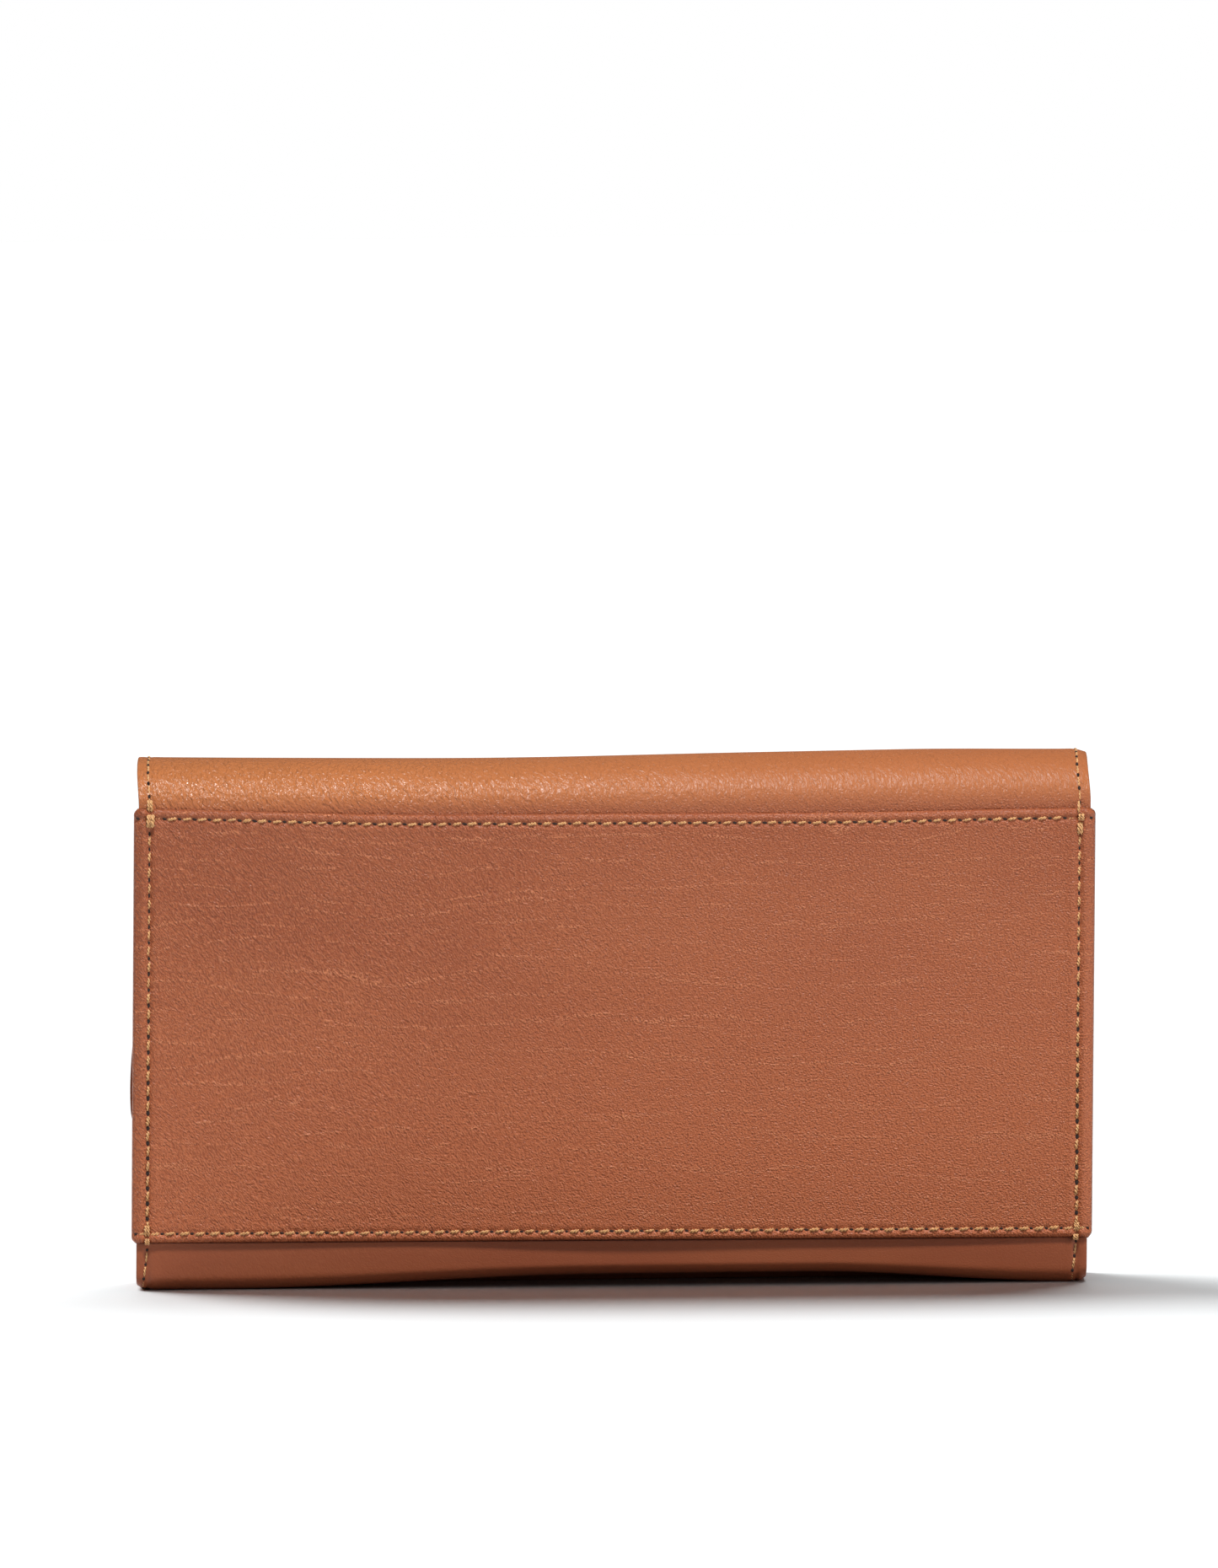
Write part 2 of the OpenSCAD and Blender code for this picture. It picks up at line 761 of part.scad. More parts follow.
module front_side_stitches() {
    color(THREAD)
        translate([0, front_y + leather_t, 0])
            both_sides(seam_x)
                row(base_fold_r + 2, front_h - 3.5, [0, 0, 1]) on_face(1, true) stitch();
}

module front_top_stitches() {
    color(THREAD)
        translate([0, front_y + leather_t, front_h - hem_inset - 0.4])
            row(-seam_x + 1.5, seam_x - 1.5, [1, 0, 0]) on_face(1) stitch();
}

// The seam down the middle of the lowest tier, which parts the two columns of cards.
module card_stitches() {
    color(THREAD)
        translate([0, rear_space_y, 0])
            row(tier_base_z + 1, tier_first_z - 1, [0, 0, 1])
                on_face(1, true) stitch(stitch_l, inner_thread_d);
}

module coin_pocket_stitches(side) {
    color(THREAD)
        translate([0, divider_y + side * head_half, divider_top_z - hem_inset])
            row(-zip_head_w / 2 + 2, zip_head_w / 2 - 2, [1, 0, 0])
                on_face(side) stitch(stitch_l, inner_thread_d);
}

shell_back();
back_lining();
back_pocket();
shell_front();
front_lining();
fold_lower();
fold_lower_lining();
fold_upper();
fold_upper_lining();
flap();
flap_lining();
gusset(-1);  // gusset_left
gusset(1);  // gusset_right
card_tier(0);  // card_tier_low
card_tier(1);  // card_tier_mid
card_tier(2);  // card_tier_high
coin_pocket_panel(-1);  // coin_pocket_rear
coin_pocket_panel(1);  // coin_pocket_front
coin_pocket_lining();
zip_tape(-1);  // zip_tape_rear
zip_tape(1);  // zip_tape_front
zip_teeth(-1);  // zip_teeth_rear
zip_teeth(1);  // zip_teeth_front
zip_top_stops();
zip_bottom_stop();
zip_slider();
zip_pull();
snap_socket();
snap_magnet();
snap_socket_washer();
snap_stud();
snap_stud_washer();
side_stitches_back();
pocket_mouth_stitches();
pocket_base_stitches();
bar_tacks();
roll_stitches(-1);  // fold_lower_stitches
roll_stitches(1);  // fold_upper_stitches
flap_stitches();
front_side_stitches();
front_top_stitches();
card_stitches();
coin_pocket_stitches(-1);  // coin_pocket_stitches_rear
coin_pocket_stitches(1);  // coin_pocket_stitches_front
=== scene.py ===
"""The looks of the long wallet: soft leather, thread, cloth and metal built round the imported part."""

import json
import math

import bmesh
import bpy
import numpy as np
from mathutils import Matrix, Vector

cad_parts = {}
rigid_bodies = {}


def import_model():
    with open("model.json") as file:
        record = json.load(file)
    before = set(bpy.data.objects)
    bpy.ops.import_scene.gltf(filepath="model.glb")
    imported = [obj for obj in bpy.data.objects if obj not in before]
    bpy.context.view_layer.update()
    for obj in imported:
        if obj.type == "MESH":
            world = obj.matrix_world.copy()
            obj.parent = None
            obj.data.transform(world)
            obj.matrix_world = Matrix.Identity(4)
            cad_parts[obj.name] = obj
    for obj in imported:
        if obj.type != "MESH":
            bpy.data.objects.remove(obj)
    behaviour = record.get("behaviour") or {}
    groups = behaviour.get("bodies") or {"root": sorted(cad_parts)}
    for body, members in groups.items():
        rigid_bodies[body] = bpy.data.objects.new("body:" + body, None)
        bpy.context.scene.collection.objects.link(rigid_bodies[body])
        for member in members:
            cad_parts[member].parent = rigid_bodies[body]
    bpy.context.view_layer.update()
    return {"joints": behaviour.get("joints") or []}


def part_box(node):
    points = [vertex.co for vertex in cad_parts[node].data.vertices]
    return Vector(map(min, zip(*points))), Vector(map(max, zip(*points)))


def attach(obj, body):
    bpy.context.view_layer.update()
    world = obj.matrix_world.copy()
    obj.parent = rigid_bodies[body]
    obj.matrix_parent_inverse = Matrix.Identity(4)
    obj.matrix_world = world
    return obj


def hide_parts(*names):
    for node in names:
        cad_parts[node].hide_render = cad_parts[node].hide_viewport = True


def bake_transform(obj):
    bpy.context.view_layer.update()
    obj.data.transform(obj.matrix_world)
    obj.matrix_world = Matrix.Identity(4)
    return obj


# ---- Units, picture and stance ----

MM = 0.001
IMAGE_H = 1860
LENS_MM = 420.0
SENSOR_MM = 36.0
PIXELS_PER_MM = 5.715
ELEVATION_DEG = 4.0
ROLL_DEG = 0.55
AIM_MM = (0.0, -15.5, 56.1)
AIM_RIGHT_PX = 6.0
AIM_DOWN_PX = 277.0
CLIP_M = (0.05, 50.0)

# How the soft wallet stands, in mm: it leans sideways, its base arches and its top dips.
LEAN = 0.0167
LEAN_Z = 66.0
TOP_SKEW = 0.6
BASE_SKEW = 0.8
BASE_ARCH = 2.45
TOP_DIP = 0.95
TOP_LIFT = 0.35
RIGHT_DIP = 0.45
WORN_CORNER = 0.9
TOP_WEAR = 0.63
FLAP_FLARE = 2.2

# Light: the room's own, the suns on the floor, and watts for the lamps on the wallet.
ROOM_LIGHT = 0.08
FLOOR_LIGHT = 2.4
KEY_LIGHT = 36.0
GLOSS_LIGHT = 30.0
FILL_LIGHT = 21.0
REAR_LIGHT = 32.0

# Stitching, in mm. A needle hole is a lens of three rings of points.
PITCH = 3.12
SEAM_INSET = 2.3
HEM_INSET = 2.1
HOLE_SIDES = 8
HOLE_RINGS = ((1.0, 0.09), (0.8, 0.15), (0.75, -0.25))
SEED = 7

# Where each leather piece lies on the one flat hide that the grain is laid out on, in mm.
POCKET_U = 400
GUSSET_U = 700
TIER_U = 1000
TIER_STEP = 250
POUCH_U = 1900
POUCH_STEP = 150


def smooth(a, b, x):
    """0 before a, 1 after b and an even turn between them."""
    t = np.clip((x - a) / (b - a), 0.0, 1.0)
    return t * t * (3.0 - 2.0 * t)


def hump(x, centre, width):
    """A bell of height 1."""
    return np.exp(-(((x - centre) / width) ** 2))


def unit(v):
    return v / np.maximum(np.linalg.norm(v, axis=-1, keepdims=True), 1e-12)


def square_to(axis, v):
    """The directions of v without their part along axis."""
    return unit(v - np.sum(v * axis, -1, keepdims=True) * axis)


def joined(*coordinates):
    """Points or places from their coordinates, each an array or a number."""
    return np.stack(np.broadcast_arrays(*coordinates), -1)


def make_camera():
    """A long lens just above the wallet's middle, which sits low in the picture."""
    data = bpy.data.cameras.new("camera")
    data.lens = LENS_MM
    data.sensor_width = SENSOR_MM
    camera = bpy.data.objects.new("camera", data)
    bpy.context.scene.collection.objects.link(camera)
    bpy.context.scene.camera = camera
    elevation = math.radians(ELEVATION_DEG)
    back = Vector((0.0, -math.cos(elevation), math.sin(elevation)))
    distance = IMAGE_H / PIXELS_PER_MM * LENS_MM / SENSOR_MM * MM
    camera.location = Vector(AIM_MM) * MM + back * distance
    per_pixel = SENSOR_MM / LENS_MM / IMAGE_H
    ray = Vector((AIM_RIGHT_PX * per_pixel, -AIM_DOWN_PX * per_pixel, -1.0)).normalized()
    look = (-back).to_track_quat("-Z", "Y")
    turn = ray.rotation_difference(Vector((0.0, 0.0, -1.0)))
    roll = Matrix.Rotation(math.radians(-ROLL_DEG), 3, "Z").to_quaternion()
    camera.rotation_mode = "QUATERNION"
    camera.rotation_quaternion = look @ roll @ turn
    data.clip_start, data.clip_end = CLIP_M


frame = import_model()
make_camera()


def box_mm(node):
    low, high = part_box(node)
    return np.array(low) / MM, np.array(high) / MM


def joint_mm(name):
    joint = next(j for j in frame["joints"] if j["name"] == name)
    return np.array(joint["pos_m"]) / MM


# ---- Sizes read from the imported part, in mm ----

EDGE_X = box_mm("shell_back")[1][0]
SEAM_X = EDGE_X - SEAM_INSET
HINGE_BACK = joint_mm("flap_lift")
HINGE_TOP = joint_mm("roll_open")
HINGE_FLAP = joint_mm("flap_straighten")
HINGE_FRONT = joint_mm("front_open")
FOLD_Z = HINGE_BACK[2]
TOP_Z = HINGE_TOP[2]
BACK_Y = HINGE_BACK[1]
FLAP_Y = HINGE_FLAP[1]
FRONT_Y = HINGE_FRONT[1]
FRONT_TOP_Z = box_mm("shell_front")[1][2]
TURNED_Y = box_mm("shell_front")[0][1]
TIP_Z = box_mm("flap")[0][2]
CORNER_R = 12.0
BASE_R = 3.0
LEATHER_T = 1.2
HIDE_T = 1.18
EDGE_T = 0.92
SKIVED_T = 0.66
LINING_T = 0.5
LINING_INSET = 1.2
GLUE = 0.1
POCKET_LOW, POCKET_HIGH = box_mm("back_pocket")
POCKET_X = POCKET_HIGH[0]
HEM_RISE = 0.3
HEM_Y = POCKET_LOW[1]
PANEL_Y = HEM_Y + HEM_RISE

# How far rounded rims bulge, in how many steps, and how far apart the points of dense meshes
# are, in mm.
RIM = 0.3
CLOTH_RIM = 0.2
RIM_STEPS = 4
STITCH_STEP = PITCH / 6
SEAM_STEP = 0.32
FINE_STEP = 0.3


def settle(p):
    """Moves points, in mm, from the part's plain form to the way the soft wallet stands.
    It leans and its top is askew, its base is raised in the middle of the back, its top dips
    and its corners are worn."""
    x, y, z = p[..., 0], p[..., 1], p[..., 2]
    sideways = LEAN * (z - LEAN_Z) - TOP_SKEW * smooth(100, 110, z)
    on_back = (1 - smooth(-9, 5, y)) * (1 - smooth(0, 9, z))
    arch = BASE_ARCH * smooth(-84, 0, x) * (1 - smooth(42, 97, x)) * on_back
    worn = WORN_CORNER * smooth(96.8, 98.8, np.abs(x)) * (1 - smooth(0, 5, z))
    dip = (TOP_DIP + TOP_LIFT) * hump(x, -25, 75) - TOP_LIFT
    dip = dip + RIGHT_DIP * smooth(60, 97, x) + TOP_WEAR * smooth(96.2, 98.8, x)
    return joined(x + sideways, y, z + arch + worn - dip * smooth(97, 108, z))


# ---- Mesh helpers ----


def new_object(name, verts, faces, normals=None, uv=None):
    """A mesh object from points in mm, with each point's shading normal and its place on the flat hide."""
    mesh = bpy.data.meshes.new(name)
    mesh.from_pydata((np.asarray(verts) * MM).tolist(), [], faces)
    mesh.polygons.foreach_set("use_smooth", np.ones(len(mesh.polygons), bool))
    if uv is not None:
        layer = mesh.uv_layers.new(name="flat")
        loops = np.zeros(len(mesh.loops), int)
        mesh.loops.foreach_get("vertex_index", loops)
        layer.data.foreach_set("uv", np.asarray(uv, np.float32)[loops].ravel())
    mesh.update()
    if normals is not None:
        mesh.normals_split_custom_set_from_vertices(unit(np.asarray(normals)).tolist())
    obj = bpy.data.objects.new(name, mesh)
    bpy.context.scene.collection.objects.link(obj)
    return obj


def grid_normals(points, outward):
    """The normals of a grid of points, turned to the side that outward names."""
    rows = np.gradient(points, axis=0)
    cols = np.gradient(points, axis=1)
    n = unit(np.cross(cols, rows))
    mid = n[n.shape[0] // 2, n.shape[1] // 2]
    return n if mid @ np.asarray(outward) > 0 else -n


def four_sides(grid, inward=0):
    """A grid's low, right, high and left sides, or the lines that many steps in from them."""
    return grid[inward], grid[:, -1 - inward], grid[-1 - inward], grid[:, inward]


def side_directions(edge, inner, normals):
    """The way out of the sheet along one side of its grid."""
    out = np.cross(unit(np.gradient(edge, axis=0)), normals)
    flip = np.sign(np.sum(out * (edge - inner), -1, keepdims=True))
    return unit(out * np.where(flip == 0, 1, flip))


def perimeter(rows, cols):
    """Grid indices round a grid: along the low row, up the right, back along the high row, down the left."""
    index = np.arange(rows * cols).reshape(rows, cols)
    return np.concatenate([index[0, :-1], index[:-1, -1], index[-1, :0:-1], index[:0:-1, 0]])


def ways_off(uv):
    """For each perimeter point, which way leads off the flat hide."""
    low, right, high, left = [edge - inner for edge, inner in zip(four_sides(uv), four_sides(uv, 1))]
    return unit(np.concatenate([side[:-1] for side in (low, right, high[::-1], left[::-1])]))


def rim_frames(points, normals, rims):
    """For each perimeter point, its way out and the rim's bulge there. rims is (low, right, high, left)."""
    lines = zip(four_sides(points), four_sides(points, 1), four_sides(normals))
    low, right, high, left = [side_directions(*line) for line in lines]
    runs = [low, right, high[::-1], left[::-1]]
    out, bulge = [], []
    for k in range(4):
        run, previous = runs[k], runs[k - 1]
        r_now, r_before = rims[k], rims[k - 1]
        directions = run[:-1].copy()
        radii = np.full(len(directions), float(r_now))
        if r_now == 0 and r_before > 0:
            directions[0], radii[0] = previous[-1], r_before
        elif r_before > 0:
            directions[0] = unit(run[0] + previous[-1])
        out.append(directions)
        bulge.append(radii)
    return np.concatenate(out), np.concatenate(bulge)[:, None]


def solid_sheet(name, outer, inner, outward, rims, uv, spare=0):
    """Closes an outer and an inner grid into one solid, with rounded or cut edges.
    spare rows at each end only shape the normals, so that neighbouring pieces shade as one."""
    n_out = grid_normals(outer, outward)
    n_in = grid_normals(inner, -np.asarray(outward, float))
    if spare:
        keep = slice(spare, -spare)
        outer, inner, uv = outer[keep], inner[keep], uv[keep]
        n_out, n_in = n_out[keep], n_in[keep]
    rows, cols = outer.shape[:2]
    count = rows * cols
    ring = perimeter(rows, cols)
    out, bulge = rim_frames(outer, n_out, rims)
    off = ways_off(uv)
    p, q = outer.reshape(-1, 3), inner.reshape(-1, 3)
    n_over, n_under = n_out.reshape(-1, 3), n_in.reshape(-1, 3)
    flat = uv.reshape(-1, 2)
    verts, normals, places = [p, q], [n_over, n_under], [flat, flat]
    middle, half = (p[ring] + q[ring]) / 2, (p[ring] - q[ring]) / 2
    reach = np.linalg.norm(half, axis=-1, keepdims=True)
    for k in range(1, RIM_STEPS):
        angle = math.pi * k / RIM_STEPS
        verts.append(middle + half * math.cos(angle) + out * bulge * math.sin(angle))
        rounded = n_over[ring] * math.cos(angle) + out * math.sin(angle)
        cut = n_over[ring] if k < RIM_STEPS / 2 else n_under[ring]
        normals.append(np.where(bulge > 0, rounded, cut))
        places.append(flat[ring] + off * reach * min(angle, math.pi - angle))
    index = np.arange(count).reshape(rows, cols)
    a, b, c, d = index[:-1, :-1], index[:-1, 1:], index[1:, 1:], index[1:, :-1]
    quads = np.stack([a, b, c, d], -1).reshape(-1, 4)
    i, j = rows // 2, cols // 2
    normal = np.cross(outer[i, j + 1] - outer[i, j], outer[i + 1, j] - outer[i, j])
    forward = normal @ n_out[i, j] > 0
    top = quads if forward else quads[:, ::-1]
    under = (quads[:, ::-1] if forward else quads) + count
    rings = [ring] + [2 * count + len(ring) * k + np.arange(len(ring)) for k in range(RIM_STEPS - 1)]
    rings.append(ring + count)
    walls = []
    for near, far in zip(rings, rings[1:]):
        wall = np.stack([near, far, np.roll(far, -1), np.roll(near, -1)], -1)
        walls.append(wall if forward else wall[:, ::-1])
    faces = np.concatenate([top, under] + walls).tolist()
    return new_object(name, np.concatenate(verts), faces, np.concatenate(normals), np.concatenate(places))


def spaced(start, end, step):
    """Even places from start to end, about step apart."""
    return np.linspace(start, end, max(2, int(round(abs(end - start) / step)) + 1))


def merged(*runs):
    """Sorted places from several runs, with near doubles left out."""
    places = np.unique(np.round(np.concatenate(runs), 4))
    keep = np.concatenate([[True], np.diff(places) > 0.08])
    return places[keep]


# ---- The shell's path in Y and Z, from the front's turned edge round the base and over the top ----

PATH_STEP = 0.05
ROLL_POWER = 2.25
ROLL_STEPS = 900
TURNED_H = 8.0


def arc(centre, radius, start_deg, end_deg):
    angles = np.radians(spaced(start_deg, end_deg, math.degrees(PATH_STEP / radius)))
    return joined(centre[0] + radius * np.cos(angles), centre[1] + radius * np.sin(angles))


def straight(a, b):
    t = np.linspace(0, 1, max(2, int(np.hypot(b[0] - a[0], b[1] - a[1]) / PATH_STEP)))[:, None]
    return np.asarray(a) * (1 - t) + np.asarray(b) * t


def roll_curve():
    """The soft roll over the top, a little squarer than an ellipse."""
    angles = np.linspace(math.pi, 0, ROLL_STEPS)
    cos, sin = np.cos(angles), np.abs(np.sin(angles))
    half = (FLAP_Y - BACK_Y) / 2
    y = (FLAP_Y + BACK_Y) / 2 + half * np.sign(cos) * np.abs(cos) ** (2 / ROLL_POWER)
    z = FOLD_Z + (TOP_Z - FOLD_Z) * sin ** (2 / ROLL_POWER)
    return joined(y, z)


def length_along(points):
    """How far along a line each of its points is."""
    return np.concatenate([[0], np.cumsum(np.linalg.norm(np.diff(points, axis=0), axis=1))])


class Path:
    """A line in a plane, measured along its length, with its outward normal on its left."""

    def __init__(self, points):
        keep = np.concatenate([[True], np.linalg.norm(np.diff(points, axis=0), axis=1) > 1e-6])
        rough = points[keep]
        length = length_along(rough)
        self.s = np.arange(0, length[-1], PATH_STEP)
        self.p = joined(*[np.interp(self.s, length, rough[:, k]) for k in range(2)])
        t = unit(np.gradient(self.p, axis=0))
        reach = 4
        kernel = np.ones(2 * reach + 1) / (2 * reach + 1)
        padded = np.pad(t, ((reach, reach), (0, 0)), "edge")
        t = unit(joined(*[np.convolve(padded[:, k], kernel, "valid") for k in range(2)]))
        self.n = joined(-t[:, 1], t[:, 0])
        self.length = self.s[-1]

    def at(self, s):
        """Position and normal, each as two arrays, at the places s. It runs on straight past its ends."""
        over = s - np.clip(s, 0, self.length)
        inside = np.clip(s, 0, self.length)
        p = [np.interp(inside, self.s, self.p[:, k]) for k in range(2)]
        n = [np.interp(inside, self.s, self.n[:, k]) for k in range(2)]
        size = np.hypot(n[0], n[1])
        n = [n[0] / size, n[1] / size]
        return [p[0] + over * n[1], p[1] - over * n[0]], n

    def nearest(self, a, b):
        """The place along the path closest to a point."""
        return self.s[np.argmin(np.hypot(self.p[:, 0] - a, self.p[:, 1] - b))]


def shell_path():
    edge_r = (FRONT_Y - TURNED_Y) / 2
    top = FRONT_TOP_Z - edge_r
    lengths = [
        straight((TURNED_Y, top - TURNED_H), (TURNED_Y, top)),
        arc((TURNED_Y + edge_r, top), edge_r, 180, 0),
        straight((FRONT_Y, top), (FRONT_Y, BASE_R)),
        arc((FRONT_Y - BASE_R, BASE_R), BASE_R, 0, -90),
        straight((FRONT_Y - BASE_R, 0.0), (BACK_Y + BASE_R, 0.0)),
        arc((BACK_Y + BASE_R, BASE_R), BASE_R, 270, 180),
        straight((BACK_Y, BASE_R), (BACK_Y, FOLD_Z)),
        roll_curve(),
        straight((FLAP_Y, FOLD_Z), (FLAP_Y, TIP_Z)),
    ]
    return Path(np.concatenate(lengths))


SHELL = shell_path()
S_FRONT_EDGE = SHELL.nearest((TURNED_Y + FRONT_Y) / 2, FRONT_TOP_Z)
S_TOP_ROW = S_FRONT_EDGE + HEM_INSET + 1.0
S_BASE = SHELL.nearest((FRONT_Y + BACK_Y) / 2, 0.0)
S_POCKET_BASE = SHELL.nearest(BACK_Y, POCKET_LOW[2])
S_POCKET_MOUTH = SHELL.nearest(BACK_Y, POCKET_HIGH[2])
S_REAR_SPLIT = SHELL.nearest(BACK_Y + 4.3, FOLD_Z + 8.3)
S_FRONT_SPLIT = SHELL.nearest(FLAP_Y - 4.3, FOLD_Z + 8.3)
S_TIP = SHELL.length

# Each fold: the bodies on its two sides, and where the leather starts and ends bending.
ROLL_W = 9.6
ROLL_H = FOLD_Z + 8.0
ROLL_Y = HINGE_TOP[1]
BENDS = {
    "bend_rear": ("body", "fold_rear", (0, BACK_Y, FOLD_Z), (0, BACK_Y, ROLL_H)),
    "bend_top": ("fold_rear", "fold_front", (0, ROLL_Y - ROLL_W, TOP_Z), (0, ROLL_Y + ROLL_W, TOP_Z)),
    "bend_flap": ("fold_front", "flap", (0, FLAP_Y, ROLL_H), (0, FLAP_Y, FOLD_Z - 2.0)),
    "bend_front": ("body", "front", (0, FRONT_Y, 1.5), (0, FRONT_Y, 12.0)),
    "bend_gusset": ("body", "front", (0, -11.5, 0), (0, 10.0, 0)),
}


def finished(obj, way, material, slot, *nodes):
    """Gives a new piece its material and hides the nodes it stands for; its slot is not used.
    Where way names a fold its transform is only baked in; otherwise it rides on the body of that name."""
    obj.data.materials.append(MATERIALS[material])
    if nodes:
        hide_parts(*nodes)
    if way in BENDS:
        a, b, start, end = BENDS[way]
        tuple(v * MM for v in start)
        tuple(v * MM for v in end)
        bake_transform(obj)
    else:
        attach(obj, way)


def flap_half_width(s):
    """Half the flap's width, less where its lower corners are rounded."""
    t = np.clip(CORNER_R - (S_TIP - s), 0, CORNER_R)
    return EDGE_X - CORNER_R + np.sqrt(np.maximum(CORNER_R**2 - t**2, 0.0))


def flap_edge_distance(x, s):
    """How far a point of the flap is in from its outline."""
    above_tip = S_TIP - s
    qx = np.abs(x) - (EDGE_X - CORNER_R)
    qz = CORNER_R - above_tip
    plain = np.minimum(EDGE_X - np.abs(x), above_tip)
    return np.where((qx > 0) & (qz > 0), CORNER_R - np.hypot(qx, qz), plain)


# ---- Relief that stitching presses into the leather ----


def seam_relief(d, along, depth=0.2, puff=0.06):
    """A groove with needle pits and swellings beside it, deep by depth and proud by puff.
    d is the distance from the row of stitches and along the place on it, all in mm."""
    groove = -depth * hump(d, 0, 0.55)
    hole = 0.5 + 0.5 * np.cos(2 * math.pi * along / PITCH)
    pit = -0.7 * depth * hump(d, 0, 0.45) * hole**3
    swell = puff * (hump(d, 1.35, 0.75) + hump(d, -1.45, 0.9)) * (1.15 - 0.3 * hole)
    return groove + pit + swell


def ripple(x, s, size):
    """Slow waves of soft leather."""
    waves = np.sin(x / 23.0 + 0.7 + s / 41.0)
    waves = waves + 0.7 * np.sin(x / 11.0 - s / 17.0 + 2.1)
    return size * (waves + 0.5 * np.sin(x / 37.0 + s / 9.0))


def shell_relief(x, s):
    """Stitched sides, but nothing where the back pocket lies on the shell."""
    covered = smooth(S_POCKET_BASE - 0.5, S_POCKET_BASE + 0.5, s)
    covered = covered * (1 - smooth(S_POCKET_MOUTH - 0.5, S_POCKET_MOUTH + 0.5, s))
    turned = 1 - smooth(S_FRONT_EDGE + 1.0, S_FRONT_EDGE + 2.5, s)
    on_flap = smooth(S_FRONT_SPLIT - 1, S_FRONT_SPLIT + 1, s)
    on_roll = smooth(S_POCKET_MOUTH, S_POCKET_MOUTH + 4, s) * (1 - on_flap)
    sides = seam_relief(np.abs(x) - SEAM_X, s) * (1 - 0.65 * on_roll)
    round_flap = seam_relief(SEAM_INSET - flap_edge_distance(x, s), s)
    seams = sides * (1 - on_flap) + round_flap * on_flap
    top_row = seam_relief(s - S_TOP_ROW, x)
    seams = np.where(s < S_BASE, np.minimum(seams, top_row) + np.maximum(seams, top_row) * 0.5, seams)
    bare = (1 - covered) * (1 - turned)
    return (seams + ripple(x, s, 0.05)) * bare


def shell_thickness(s):
    """The turned edge is skived thinner than the rest of the hide."""
    over_edge = smooth(S_FRONT_EDGE - 1.5, S_FRONT_EDGE, s)
    rest = smooth(S_FRONT_EDGE, S_FRONT_EDGE + 1.5, s)
    return SKIVED_T + (EDGE_T - SKIVED_T) * over_edge + (HIDE_T - EDGE_T) * rest


def on_path(path, x, s, push):
    """Points beside a path, moved out along its normal by push."""
    (y, z), (ny, nz) = path.at(s)
    return joined(x, y + ny * push, z + nz * push)


def flap_flare(p):
    """One lower corner of the flap flares sideways, past the back pocket's edge."""
    x, y, z = p[..., 0], p[..., 1], p[..., 2]
    flare = FLAP_FLARE * hump(z, 40, 19) * smooth(55, 99, -x) * smooth(12, 14, y)
    return joined(x - flare, y, z)


def shell_point(x, s, depth=0.0, relief=True):
    """Points of the shell at a depth under its outer face."""
    push = (shell_relief(x, s) if relief else 0.0) - depth
    return settle(flap_flare(on_path(SHELL, x, s, push)))


def seam_columns():
    """Places across the shell, close together at the side seams."""
    dense = spaced(SEAM_X - 2.6, EDGE_X - RIM, SEAM_STEP)
    return merged(-dense[::-1], spaced(-SEAM_X + 3.0, SEAM_X - 3.0, 3.0), dense)


def shell_grid(s_from, s_to, columns, step):
    """Columns across, rows along the path and a spare row past each end."""
    rows = spaced(s_from, s_to, step)
    gap = rows[1] - rows[0]
    rows = np.concatenate([[rows[0] - gap], rows, [rows[-1] + gap]])
    s, u = np.meshgrid(rows, columns, indexing="ij")
    x = np.where(s > S_FRONT_SPLIT, u * flap_half_width(np.minimum(s, S_TIP)) / EDGE_X, u)
    return x, s


def shell_piece(name, s_from, s_to, outward, rims):
    """One stretch of the shell's leather as a closed solid."""
    x, s = shell_grid(s_from, s_to, seam_columns(), STITCH_STEP)
    outer = shell_point(x, s)
    inner = shell_point(x, s, depth=shell_thickness(s), relief=False)
    return solid_sheet(name, outer, inner, outward, rims, joined(x, s), spare=1)


def cloth_piece(name, s_from, s_to, outward, rims):
    """One stretch of the lining, just under the leather."""
    half_width = EDGE_X - LINING_INSET
    x, s = shell_grid(s_from, s_to, spaced(-half_width, half_width, 3.0), 1.2)
    depth = LEATHER_T + GLUE
    outer = shell_point(x, s, depth=depth, relief=False)
    inner = shell_point(x, s, depth=depth + LINING_T, relief=False)
    return solid_sheet(name, outer, inner, outward, rims, joined(x, s), spare=1)


# ---- The slip pocket on the back ----

POCKET_CORNER_R = 1.6
HEM_RIM = 0.6
SIDE_RIM = 0.8
HALF_POCKET = POCKET_X - SIDE_RIM


def pocket_half_width(b):
    """Half the pocket's width, less its slightly rounded corners."""
    d = np.clip(np.minimum(POCKET_HIGH[2] - b, b - POCKET_LOW[2]), 0, POCKET_CORNER_R)
    return HALF_POCKET - POCKET_CORNER_R + np.sqrt(POCKET_CORNER_R**2 - (POCKET_CORNER_R - d) ** 2)


def pocket_height(x, b):
    """The mouth sags and the base slopes, while the rows between stay even."""
    mouth = 1.35 * smooth(42, 99, -x) + 0.75 * smooth(40, 99, x) - 0.35 - 0.0054 * x
    base = -0.003 * x
    low, high = POCKET_LOW[2], POCKET_HIGH[2]
    return b + mouth * smooth(low + 30, high - 2, b) + base * (1 - smooth(low + 4, low + 50, b))


